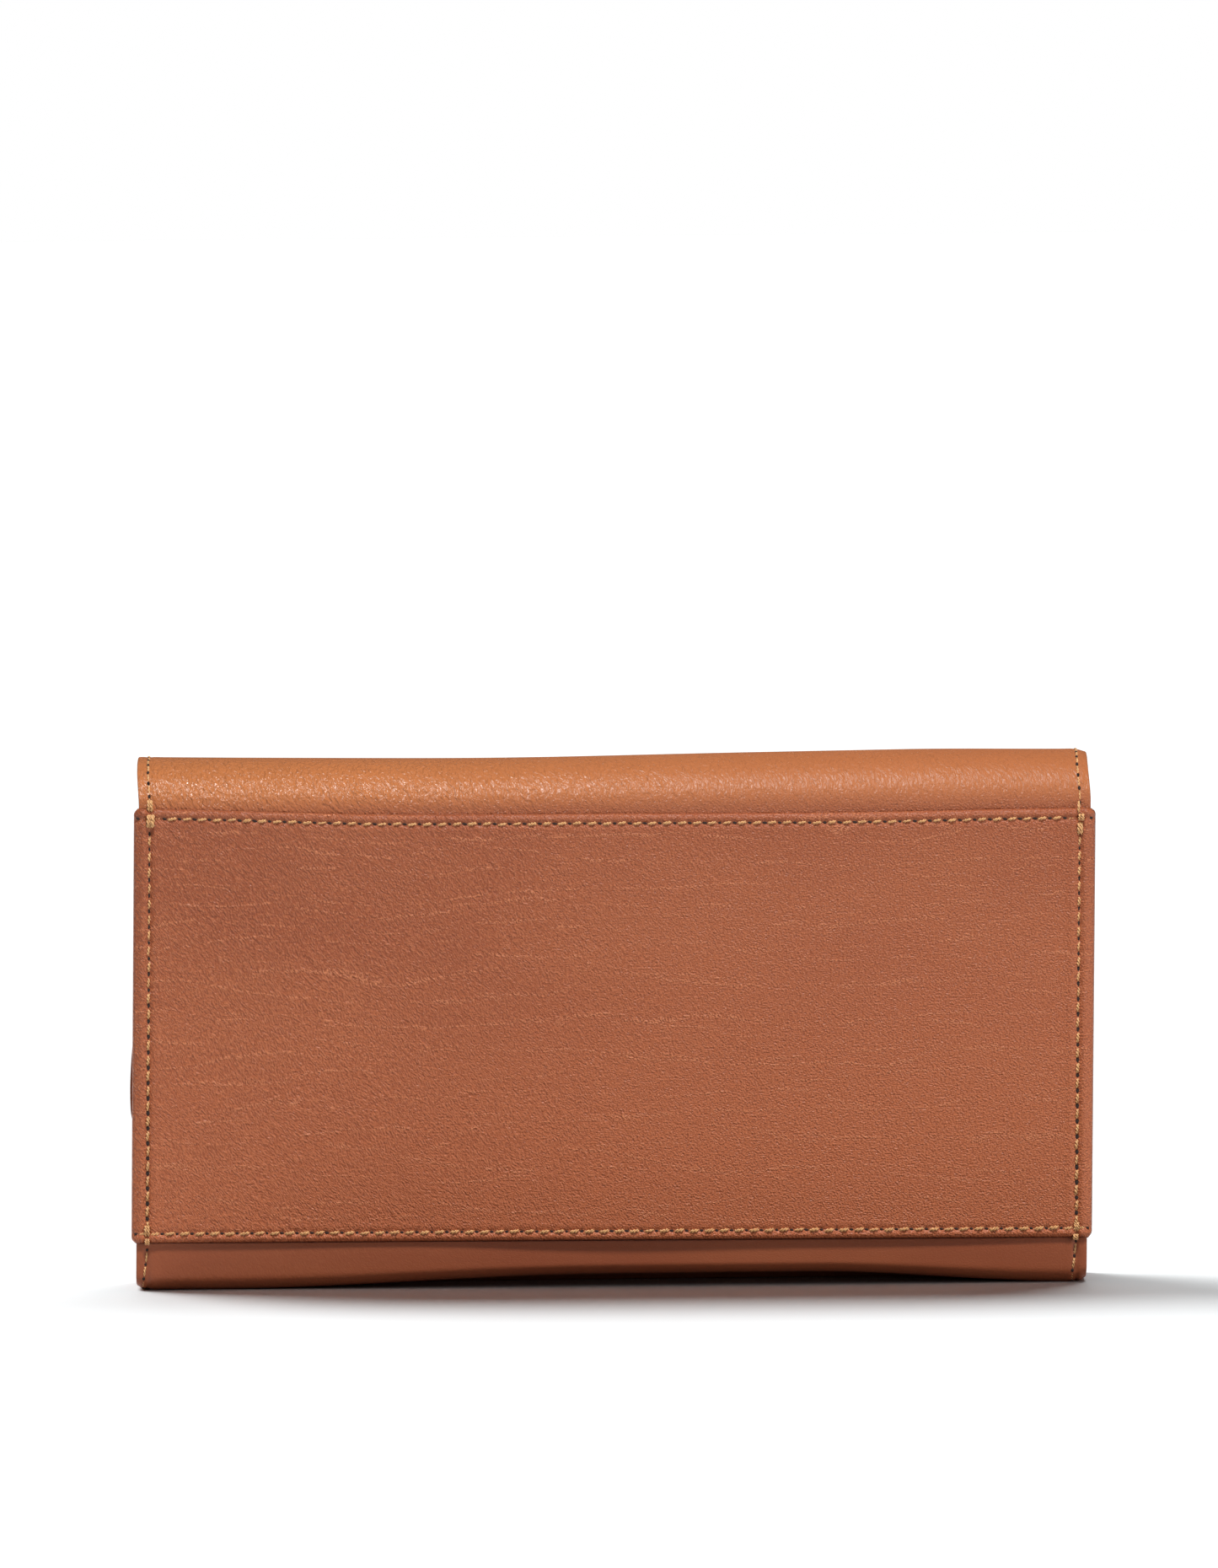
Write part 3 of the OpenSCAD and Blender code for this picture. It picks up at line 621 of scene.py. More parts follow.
def pocket_relief(x, b):
    """Turned hems that stand proud, their stitches, and the side seams."""
    relief = 0.0
    for d in (POCKET_HIGH[2] - b, b - POCKET_LOW[2]):
        relief = relief + 0.14 * (1 - smooth(HEM_INSET - 0.5, HEM_INSET + 0.5, d))
        relief = relief - 0.3 * (1 - smooth(0.3, 1.2, d))
        relief = relief + seam_relief(d - HEM_INSET, x, puff=0.04)
    side = np.abs(x) - SEAM_X
    relief = relief + seam_relief(side, b, depth=0.34, puff=0.16)
    relief = relief - 0.55 * smooth(1.2, 3.2, side)
    return relief + ripple(x, b, 0.16)


def pocket_point(x, b, push=0.0):
    """Points on the slip pocket's outer face, or in front of it by push."""
    return settle(joined(x, PANEL_Y - pocket_relief(x, b) - push, pocket_height(x, b)))


def make_slip_pocket():
    dense = spaced(SEAM_X - 2.2, HALF_POCKET, SEAM_STEP)
    columns = merged(-dense[::-1], spaced(-SEAM_X + 2.4, SEAM_X - 2.4, STITCH_STEP), dense)
    low, high = POCKET_LOW[2] + HEM_RIM, POCKET_HIGH[2] - HEM_RIM
    hem = 5
    low_hem, high_hem = spaced(low, low + hem, FINE_STEP), spaced(high - hem, high, FINE_STEP)
    rows = merged(low_hem, spaced(low + hem, high - hem, STITCH_STEP), high_hem)
    b, u = np.meshgrid(rows, columns, indexing="ij")
    x = u * pocket_half_width(b) / HALF_POCKET
    outer = pocket_point(x, b)
    lip = smooth(EDGE_X + 0.05, EDGE_X + 0.12, np.abs(x))
    back_y = (BACK_Y - 0.06) * (1 - lip) + (BACK_Y + LEATHER_T) * lip
    inner = settle(joined(x, back_y, pocket_height(x, b)))
    rims = (HEM_RIM, SIDE_RIM, HEM_RIM, SIDE_RIM)
    return solid_sheet("slip_pocket", outer, inner, (0, -1, 0), rims, joined(x + POCKET_U, b))


# ---- Side gussets ----

FOLD_REACH = 0.9
GUSSET_HALF_T = 0.3


def rounded_line(corners):
    """Softens a line's corners, each over no more than FOLD_REACH to either side."""
    rough = np.asarray(corners, float)

    def toward(corner, end):
        return corner + unit(end - corner) * min(FOLD_REACH, np.linalg.norm(end - corner) / 2)

    p = [rough[0]]
    for before, corner, after in zip(rough, rough[1:], rough[2:]):
        p += [toward(corner, before), corner, toward(corner, after)]
    p = np.array(p + [rough[-1]])
    for _ in range(3):
        a = p[:-1] * 0.75 + p[1:] * 0.25
        b = p[:-1] * 0.25 + p[1:] * 0.75
        p = np.concatenate([p[:1], np.stack([a, b], 1).reshape(-1, 2), p[-1:]])
    return p


def gusset_path():
    """The gusset from above on the right: a flange, an inner fold, a ridge, an inner fold, a flange."""
    low, high = box_mm("gusset_right")
    middle = (box_mm("coin_pocket_rear")[0][1] + box_mm("coin_pocket_front")[1][1]) / 2
    flange, fold, end = EDGE_X - SEAM_INSET - 1.9, low[0] + 0.35, high[0]
    ridge = box_mm("coin_pocket_rear")[1][0] + 0.95
    halves = []
    for flange_y, ridge_y in ((low[1] + 0.35, middle - 4.25), (high[1] - 0.35, middle + 4.25)):
        fold_y = (flange_y + ridge_y) / 2
        halves.append([(end, flange_y), (flange, flange_y), (fold, fold_y), (ridge, ridge_y)])
    return Path(rounded_line(halves[0] + halves[1][::-1]))


def make_gusset(name, side):
    path = gusset_path()
    low, high = box_mm("gusset_right")
    heights = spaced(low[2] + RIM, high[2] - RIM, 2.0)
    s, z = np.meshgrid(spaced(0.0, path.length, 0.5), heights, indexing="ij")
    (x, y), (nx, ny) = path.at(s)
    wave = 0.25 * np.sin(z / 9.0 + side) * hump(s, path.length / 2, path.length / 3.2)

    def face(depth):
        return settle(joined(side * (x + nx * depth + wave), y + ny * depth, z))

    outer, inner = face(-GUSSET_HALF_T), face(GUSSET_HALF_T)
    middle = outer.shape[0] // 2
    outward = outer[middle, 0] - inner[middle, 0]
    return solid_sheet(f"soft_{name}", outer, inner, outward, [RIM] * 4, joined(s + GUSSET_U, z))


# ---- Inside: card tiers and coin pocket ----

TIERS = ("card_tier_low", "card_tier_mid", "card_tier_high")
TIER_RIM = 0.25
CARD_W = 86


def make_card_tier(node, number):
    """A leather tier with a creased top edge that dips at each card, stitched down the middle."""
    low, high = box_mm(node)
    top = high[2]
    columns = merged(spaced(low[0] + RIM, high[0] - RIM, 2.0), spaced(-3, 3, FINE_STEP))
    rows = merged(spaced(low[2] + RIM, top - 6, 2.0), spaced(top - 6, top - RIM, FINE_STEP))
    z, x = np.meshgrid(rows, columns, indexing="ij")
    pressed = 0.06 * hump(top - z, 2.2, 0.35) + 0.07 * hump(x, 0, 0.8)
    sag = 0.3 * (1 + np.cos(x / CARD_W * math.pi * 2)) * smooth(top - 25, top, z)
    outer = settle(joined(x, high[1] - pressed, z - sag))
    inner = settle(joined(x, low[1], z - sag))
    places = joined(x + TIER_U + TIER_STEP * number, z)
    return solid_sheet(f"soft_{node}", outer, inner, (0, 1, 0), [TIER_RIM] * 4, places)


POUCH_LOW, POUCH_HIGH = box_mm("coin_pocket_rear")
POUCH_MIDDLE = (POUCH_LOW[1] + box_mm("coin_pocket_front")[1][1]) / 2
HEAD_HALF = POUCH_MIDDLE - POUCH_LOW[1]
POUCH_HALF = HEAD_HALF - 1.3
POUCH_T = 0.78
SHOULDER_DROP = 12.0
HEAD_X = box_mm("zip_tape_rear")[1][0]
HEAD_Z = POUCH_HIGH[2] - 7.0


def pouch_point(side):
    """Points of one coin pocket panel: a flat pouch that steps out to the zip's head."""

    def at(x, z, push=0.0, relief=True):
        head = smooth(HEAD_Z - 5.5, HEAD_Z + 0.5, z) * (1 - smooth(HEAD_X - 1.5, HEAD_X + 1, np.abs(x)))
        groove = seam_relief(POUCH_HIGH[2] - z - HEM_INSET, x, depth=0.16, puff=0.03) if relief else 0.0
        off = POUCH_HALF + (HEAD_HALF - POUCH_HALF) * head + groove + push
        return settle(joined(x, POUCH_MIDDLE + side * off, z))

    return at


def make_pouch_panel(node, side):
    """A coin pocket panel, cut lower beside the head so that it fits between the gussets."""
    edge, inside, outside = POUCH_HIGH[0] - RIM, HEAD_X - 2, HEAD_X + 2
    step, beside = spaced(inside, outside, FINE_STEP), spaced(outside, edge, 1.5)
    columns = merged(-beside, -step, spaced(-inside, inside, STITCH_STEP), step, beside)
    base = POUCH_LOW[2] + RIM
    shares = np.concatenate([spaced(0, 0.8, 0.03), spaced(0.804, 1.0, 0.004)])
    share, x = np.meshgrid(shares, columns, indexing="ij")
    top = POUCH_HIGH[2] - RIM - SHOULDER_DROP * smooth(HEAD_X - 0.4, HEAD_X + 1.2, np.abs(x))
    z = base + share * (top - base)
    at = pouch_point(side)
    outer = at(x, z)
    inner = at(x, z, push=-POUCH_T, relief=False)
    places = joined(x + POUCH_U + POUCH_STEP * side, z)
    return solid_sheet(f"soft_{node}", outer, inner, (0, side, 0), [RIM] * 4, places)


TOOTH_L = 1.0
TOOTH_PITCH = 2.4
TOOTH_CHAMFER = 0.18


def make_teeth(node):
    """A row of zip teeth with softened edges, each gripping its tape."""
    low, high = box_mm(node)
    half = np.array([TOOTH_L, high[1] - low[1], high[2] - low[2]]) / 2
    corners = []
    for axis in range(3):
        inset = np.full(3, TOOTH_CHAMFER)
        inset[axis] = 0.0
        for signs in np.ndindex(2, 2, 2):
            corners.append((np.array(signs) * 2 - 1) * (half - inset))
    corners = np.array(corners)
    hull = convex_faces(corners)
    first = np.array([low[0] + TOOTH_L / 2, (low[1] + high[1]) / 2, (low[2] + high[2]) / 2])
    count = int(round((high[0] - low[0] - TOOTH_L) / TOOTH_PITCH)) + 1
    verts = [corners + first + [k * TOOTH_PITCH, 0, 0] for k in range(count)]
    obj = new_object(f"soft_{node}", np.concatenate(verts), repeated(hull, count))
    obj.data.polygons.foreach_set("use_smooth", np.zeros(len(obj.data.polygons), bool))
    return obj


def repeated(faces, count):
    """The faces of count copies of a piece, each with its own vertices."""
    size = 1 + max(max(face) for face in faces)
    return [[i + k * size for i in face] for k in range(count) for face in faces]


def convex_faces(corners):
    """The faces of a small convex solid."""
    work = bmesh.new()
    for i, corner in enumerate(corners):
        work.verts.new(corner).index = i
    bmesh.ops.convex_hull(work, input=work.verts)
    bmesh.ops.dissolve_limit(work, angle_limit=0.01, verts=work.verts, edges=work.edges)
    faces = [[v.index for v in f.verts] for f in work.faces]
    work.free()
    return faces


# ---- Thread ----

PLY_TURNS = 1.6
PLY_RINGS = 13
PLY_SIDES = 7
PLY_OFFSET = 0.48
PLY_RADIUS = 0.56

# How much stitches and holes differ in size, how far stitches sway in mm, and how flat they lie.
RADIUS_SPREAD = 0.1
HOLE_SPREAD = 0.12
SWAY = 0.05
PRESSED = 0.85
CHANCE = np.random.default_rng(SEED)


def belt(near, far):
    """Faces between two rings of vertex numbers."""
    return [list(face) for face in zip(near, near[1:] + near[:1], far[1:] + far[:1], far)]


def rings_of(count, sides, start=0):
    """Vertex numbers of rings that follow one another."""
    return [[start + i * sides + j for j in range(sides)] for i in range(count)]


def ply_template():
    """A stitch of two twisted plies, one unit long and about two units thick, and its faces."""
    t = np.linspace(-0.5, 0.5, PLY_RINGS)
    taper = np.sqrt(np.clip(1 - np.abs(2 * t) ** 5, 0.02, 1))
    angles = np.linspace(0, 2 * math.pi, PLY_SIDES, endpoint=False)
    ring = joined(0.0, np.cos(angles), np.sin(angles))
    verts, faces = [], []
    for ply in (0, 1):
        swirl = math.pi * ply + 2 * math.pi * PLY_TURNS * t
        centre = joined(t, PLY_OFFSET * np.cos(swirl) * taper, PLY_OFFSET * np.sin(swirl) * taper)
        verts.append((centre[:, None] + PLY_RADIUS * taper[:, None, None] * ring).reshape(-1, 3))
        rings = rings_of(PLY_RINGS, PLY_SIDES, start=ply * PLY_RINGS * PLY_SIDES)
        for near, far in zip(rings, rings[1:]):
            faces += belt(near, far)
        faces += [rings[0][::-1], rings[-1]]
    return np.concatenate(verts), faces


def hole_faces():
    """The faces of a needle hole's lens: its slope, its buried side and its two ends."""
    mouth, raised, buried = rings_of(len(HOLE_RINGS), HOLE_SIDES)
    return belt(mouth, raised) + belt(buried, mouth) + [raised, buried[::-1]]


PLY_VERTS, PLY_FACES = ply_template()


def stitches(starts, ends, normals, radius, lift, sink=0.9, slant=0.0):
    """Vertices of one twisted stitch between each pair of needle holes.
    Its middle rises by lift, its ends sink by sink radii, and slant sets it askew in the row."""
    along = ends - starts
    n = square_to(unit(along), normals)
    side = np.cross(unit(along), n)
    x, y, z = PLY_VERTS.T
    each = (len(starts), 1)
    size = radius * (1 + RADIUS_SPREAD * CHANCE.standard_normal(each))
    turn = CHANCE.uniform(0, 2 * math.pi, each)
    sway = SWAY * CHANCE.standard_normal(each)
    sideways = (y * np.cos(turn) - z * np.sin(turn)) * size + slant * 2 * x + sway
    rise = (y * np.sin(turn) + z * np.cos(turn)) * size * PRESSED
    rise = rise + lift * (1 - (2 * x) ** 2) - sink * radius * np.abs(2 * x) ** 5
    spine = ((starts + ends) / 2)[:, None] + along[:, None] * x[:, None]
    return spine + side[:, None] * sideways[..., None] + n[:, None] * rise[..., None]


def frames_on(point, a, b):
    """Points of a surface and its normals there."""
    base = point(a, b, 0.0)
    return base, unit(point(a, b, 0.5) - base)


def row_of_stitches(point, a, b, gap, **look):
    """Stitches along a row of needle holes at (a, b) on a surface, each gap short of its holes."""
    p, n = frames_on(point, a, b)
    starts, ends = p[:-1], p[1:]
    t = unit(ends - starts)
    return stitches(starts + t * gap, ends - t * gap, (n[:-1] + n[1:]) / 2, **look)


def hole_group(point, a, b, long, wide, tilt=0.0):
    """The points of flush lenses, dark with painted shade, where the needle went through."""
    p, n = frames_on(point, a, b)
    t = square_to(n, np.gradient(p, axis=0))
    side = np.cross(t, n)
    t, side = t * math.cos(tilt) - side * math.sin(tilt), side * math.cos(tilt) + t * math.sin(tilt)
    long = long * (1 + HOLE_SPREAD * CHANCE.standard_normal((len(p), 1, 1)))
    angles = np.linspace(0, 2 * math.pi, HOLE_SIDES, endpoint=False)[:, None]
    oval = long * t[:, None] * np.cos(angles) + wide * side[:, None] * np.sin(angles)
    return np.concatenate([p[:, None] + share * oval + rise * n[:, None] for share, rise in HOLE_RINGS], 1)


def sewn_object(name, groups, faces):
    """One object from several groups of like pieces, all with the same faces."""
    pieces = np.concatenate(groups)
    return new_object(name, pieces.reshape(-1, 3), repeated(faces, len(pieces)))


# ---- Where the rows of stitches run ----

MOUTH_LOOK = dict(gap=0.5, radius=0.31, lift=0.36, slant=-0.2, long=0.5, wide=0.27, tilt=-0.25)
HEM_LOOK = dict(gap=0.38, radius=0.39, lift=0.42, slant=-0.2, long=0.42, wide=0.28, tilt=-0.2)
SIDE_LOOK = dict(gap=0.45, radius=0.35, lift=0.3, sink=0.5, slant=0.12, long=0.5, wide=0.5)
ROLL_LOOK = dict(gap=0.35, radius=0.27, lift=0.12, sink=0.5, long=0.5, wide=0.3)
BASE_LOOK = dict(gap=0.35, radius=0.25, lift=0.24, sink=0.5, long=0.36, wide=0.32)
INNER_LOOK = dict(gap=0.4, radius=0.2, lift=0.1, long=0.22, wide=0.2)

BEYOND_SEAM = 2.3
HEM_LOW = POCKET_LOW[2] + HEM_INSET
HEM_HIGH = POCKET_HIGH[2] - HEM_INSET
S_ABOVE_POCKET = S_POCKET_MOUTH + 1.0
S_FLAP_ROW = S_FRONT_SPLIT + 0.6


def on_shell(x, s, push):
    return shell_point(x, s, depth=-push)


def hole_places(start, end):
    """Needle holes from start to end at an even pitch close to the usual one."""
    return spaced(start, end, PITCH)


def straight_row(point, a, b, **look):
    """The stitches and needle holes of a row whose holes are at (a, b)."""
    a, b = np.broadcast_arrays(np.asarray(a, float), np.asarray(b, float))
    holes = {k: look.pop(k) for k in ("long", "wide", "tilt") if k in look}
    return row_of_stitches(point, a, b, **look), hole_group(point, a, b, **holes)


def side_rows(point, places, look, drift=0.0):
    """The rows down both sides of a piece."""
    return [straight_row(point, side * SEAM_X + drift, places, **look) for side in (-1, 1)]


def flap_row():
    """Needle holes round the flap: down one side, along the tip and up the other side."""
    r = CORNER_R - SEAM_INSET
    turn = np.radians(np.linspace(0, 90, 30))
    corner_s = S_TIP - CORNER_R
    down_x = [SEAM_X] * 2 + list(SEAM_X - r + r * np.cos(turn))
    down_s = [S_FLAP_ROW, corner_s] + list(corner_s + r * np.sin(turn))
    line = joined(down_x + [-x for x in down_x[::-1]], down_s + down_s[::-1])
    length = length_along(line)
    places = hole_places(0, length[-1])
    return [np.interp(places, length, line[:, k]) for k in range(2)]


def tier_row(node):
    """The short length of the middle seam that shows on one card tier."""
    low, high = box_mm(node)
    below = [box_mm(other)[1][2] for other in TIERS if box_mm(other)[1][2] < high[2] - 0.5]
    start = max(below) + 1.0 if below else low[2] + 2.0

    def point(x, z, push):
        return settle(joined(x, high[1] + push - 0.05, z))

    return straight_row(point, 0.0, hole_places(start, high[2] - 2.0), **INNER_LOOK)


def strands(x, z, places, start, end, drift=0.0, radius=0.32, lift=0.45):
    """Short thick strands side by side on the pocket, from start to end above a corner at x and z."""
    x_from = x + np.array(places)
    starts, n1 = frames_on(pocket_point, x_from, np.full(len(places), z + start))
    stops, n2 = frames_on(pocket_point, x_from + drift, np.full(len(places), z + end))
    return stitches(starts, stops, n1 + n2, radius=radius, lift=lift, sink=0.6)


def make_knots():
    """Doubled and trebled stitches where the hems cross the side seams."""
    left, right = -SEAM_X, SEAM_X
    groups = [
        strands(left, HEM_HIGH, (-0.1, 0.4), 1.4, 4.0, drift=-0.1, lift=0.35),
        strands(right, HEM_HIGH, (-0.35,), 0.9, 3.6, drift=0.05, lift=0.35),
        strands(left, HEM_HIGH, (-0.3, 0.2, 0.75), 1.0, -2.0, drift=-0.08, radius=0.4, lift=0.6),
        strands(right, HEM_HIGH, (-0.2, 0.4), -0.8, -3.6, radius=0.4, lift=0.6),
        strands(right, HEM_HIGH, (0.0, 0.55), 1.0, -0.7, radius=0.4, lift=0.6),
        strands(left, HEM_LOW, (-0.25, 0.25), -0.6, 1.9, drift=-0.05),
        strands(left, HEM_LOW, (-0.3, 0.3), -2.4, -0.9, drift=-0.05),
        strands(right, HEM_LOW, (-0.25, 0.25), -0.8, 1.35, drift=0.03),
        strands(right, HEM_LOW, (-0.4, 0.15), -2.6, -1.1, drift=0.08),
    ]
    finished(sewn_object("doubled_stitches", groups, PLY_FACES), "body", "thread", "thread", "bar_tacks")


def sew(name, rows, way, node):
    """Makes the thread and the needle holes of several rows that move together."""
    threads, holes = zip(*rows)
    finished(sewn_object(f"{name}_thread", threads, PLY_FACES), way, "thread", "thread", node)
    finished(sewn_object(f"{name}_holes", holes, hole_faces()), way, "needle_hole_shade", "thread")


def make_back_stitching():
    """The slip pocket's sides, mouth and base, and the shell's sides below it and over the roll."""
    low = hole_places(S_BASE + 1.5, S_POCKET_BASE - 1.0)
    skew = -BASE_SKEW * smooth(S_POCKET_BASE, S_POCKET_BASE - 9, low)
    sides = side_rows(pocket_point, hole_places(HEM_LOW, HEM_HIGH), SIDE_LOOK)
    sides += side_rows(on_shell, low, BASE_LOOK, drift=skew)
    sew("pocket_sides", sides, "body", "side_stitches_back")
    edges = [SEAM_X + BEYOND_SEAM]
    across = np.concatenate([np.negative(edges), hole_places(-SEAM_X, SEAM_X), edges])
    mouth = straight_row(pocket_point, across, HEM_HIGH, **MOUTH_LOOK)
    sew("pocket_mouth", [mouth], "body", "pocket_mouth_stitches")
    base = straight_row(pocket_point, across, HEM_LOW, **HEM_LOOK)
    sew("pocket_base", [base], "body", "pocket_base_stitches")
    split = S_ABOVE_POCKET + PITCH * math.floor((S_REAR_SPLIT - S_ABOVE_POCKET) / PITCH)
    rear = side_rows(on_shell, hole_places(S_ABOVE_POCKET, split), ROLL_LOOK)
    sew("roll_rear", rear, "bend_rear", "fold_lower_stitches")
    top = side_rows(on_shell, hole_places(split, S_FLAP_ROW), ROLL_LOOK)
    sew("roll_top", top, "bend_top", "fold_upper_stitches")


def make_front_stitching():
    """The flap's outline and the front's sides and top."""
    flap = straight_row(on_shell, *flap_row(), **SIDE_LOOK)
    sew("flap", [flap], "bend_flap", "flap_stitches")
    sides = side_rows(on_shell, hole_places(S_TOP_ROW, S_BASE - 1.5), SIDE_LOOK)
    sew("front_sides", sides, "bend_front", "front_side_stitches")
    top = straight_row(on_shell, hole_places(-SEAM_X, SEAM_X), S_TOP_ROW, **SIDE_LOOK)
    sew("front_top", [top], "bend_front", "front_top_stitches")


def make_inner_stitching():
    """The card tiers' middle seam and the rows along the zip."""
    sew("card_tiers", [tier_row(node) for node in TIERS], "body", "card_stitches")
    for name, side in (("rear", -1), ("front", 1)):
        places = hole_places(-HEAD_X + 2, HEAD_X - 2)
        row = straight_row(pouch_point(side), places, POUCH_HIGH[2] - HEM_INSET, **INNER_LOOK)
        sew(f"coin_pocket_{name}", [row], "coin_pocket", f"coin_pocket_stitches_{name}")


# ---- Materials ----


class Value:
    """A number or a place worked out by a shader's nodes, with the usual arithmetic."""

    def __init__(self, finish, socket):
        self.finish = finish
        self.socket = socket

    def __add__(self, other):
        return self.finish.math("ADD", self, other)

    def __sub__(self, other):
        return self.finish.math("SUBTRACT", self, other)

    def __rsub__(self, other):
        return self.finish.math("SUBTRACT", other, self)

    def __mul__(self, other):
        return self.finish.math("MULTIPLY", self, other)

    def __truediv__(self, other):
        return self.finish.math("DIVIDE", self, other)

    __radd__ = __add__
    __rmul__ = __mul__


class Finish:
    """A material under construction: a Principled shader and the nodes that feed it."""

    def __init__(self, name):
        self.material = bpy.data.materials.new(name)
        self.material.use_nodes = True
        self.tree = self.material.node_tree
        self.tree.nodes.clear()
        self.shader = self.tree.nodes.new("ShaderNodeBsdfPrincipled")
        output = self.tree.nodes.new("ShaderNodeOutputMaterial")
        self.tree.links.new(self.shader.outputs[0], output.inputs["Surface"])

    def put(self, socket, value):
        if isinstance(value, Value):
            self.tree.links.new(value.socket, socket)
        else:
            socket.default_value = value

    def node(self, kind, *values, out=0, **settings):
        """A node whose first inputs take values, and whose out-th output is returned."""
        made = self.tree.nodes.new("ShaderNode" + kind)
        for name, value in settings.items():
            if name in made.inputs:
                self.put(made.inputs[name], value)
            else:
                setattr(made, name, value)
        for socket, value in zip(made.inputs, values):
            if value is not None:
                self.put(socket, value)
        return Value(self, made.outputs[out])

    def set(self, **inputs):
        for name, value in inputs.items():
            self.put(self.shader.inputs[name.replace("_", " ")], value)

    def math(self, operation, *values):
        return self.node("Math", *values, operation=operation)

    def hide(self):
        """Places on the flat hide, in mm."""
        return self.node("UVMap", uv_map="flat")

    def solid(self):
        """Places on the object itself, in mm."""
        return self.stretch(self.node("TexCoord", out=3), (MM, MM, MM))

    def part(self, places, axis):
        """One coordinate of places."""
        return self.node("SeparateXYZ", places, out=axis)

    def stretch(self, places, size, turn=0.0, move=(0, 0, 0)):
        """Places counted in features of the given size, turned anticlockwise."""
        turned = (0, 0, turn)
        return self.node("Mapping", places, Scale=size, Rotation=turned, Location=move, vector_type="TEXTURE")

    def noise(self, places, scale=1.0, detail=2.0, distortion=0.0, out=0):
        return self.node("TexNoise", places, Scale=scale, Detail=detail, Distortion=distortion, out=out)

    def wander(self, places, size, reach):
        """Places that drift by up to half of reach, over features of the given size."""
        drift = self.noise(self.stretch(places, (size, size, 1)), detail=1.0, out=1)
        drift = self.node("VectorMath", drift, (-0.5, -0.5, -0.5), operation="ADD")
        drift = self.node("VectorMath", drift, operation="SCALE", Scale=reach)
        return self.node("VectorMath", places, drift, operation="ADD")

    def ramp(self, factor, low, high):
        """0 below low and 1 above high."""
        return self.node("MapRange", factor, low, high, 0.0, 1.0, interpolation_type="SMOOTHSTEP")

    def band(self, factor, start, full, fades, end):
        """1 from full to fades, and 0 before start and after end."""
        return self.ramp(factor, start, full) * (1 - self.ramp(factor, fades, end))

    def between(self, factor, first, second):
        """A number part of the way from first to second."""
        return self.node("MapRange", factor, 0.0, 1.0, first, second)

    def mix(self, factor, first, second):
        """A colour part of the way from first to second, which are the node's inputs 6 and 7."""
        return self.node("Mix", factor, *[None] * 5, first, second, out=2, data_type="RGBA")

    def bump(self, height, distance_mm, strength=1.0, **under):
        """The normals of a relief, laid over another Normal where under gives one."""
        return self.node("Bump", Strength=strength, Distance=distance_mm * MM, Height=height, **under)


def colour(r, g, b):
    return (r, g, b, 1.0)


def stretch_lines(f, flat):
    """Thin broken lines across the hide, at two uneven spacings, 1 on a line."""
    found = 0.0
    for spacing, seed in ((6.3, 0.0), (8.1, 40.0)):
        drift = f.noise(f.stretch(flat, (75, 22, 1), move=(seed, seed, 0)), detail=3.0)
        tremble = f.noise(f.stretch(flat, (3, 9, 1), move=(seed, 0, 0)), detail=3.0)
        gaps = f.noise(f.stretch(flat, (12, 5, 1), move=(seed, 5, 0)), detail=4.0)
        turn = f.part(flat, 1) / spacing + 3.0 * drift + 0.2 * tremble
        off = f.math("ABSOLUTE", f.math("FRACT", turn) - 0.5)
        line = (1 - f.ramp(off, 0.0, 0.42 / spacing)) * f.ramp(gaps, 0.43, 0.55)
        found = f.math("MAXIMUM", found, line)
    return found


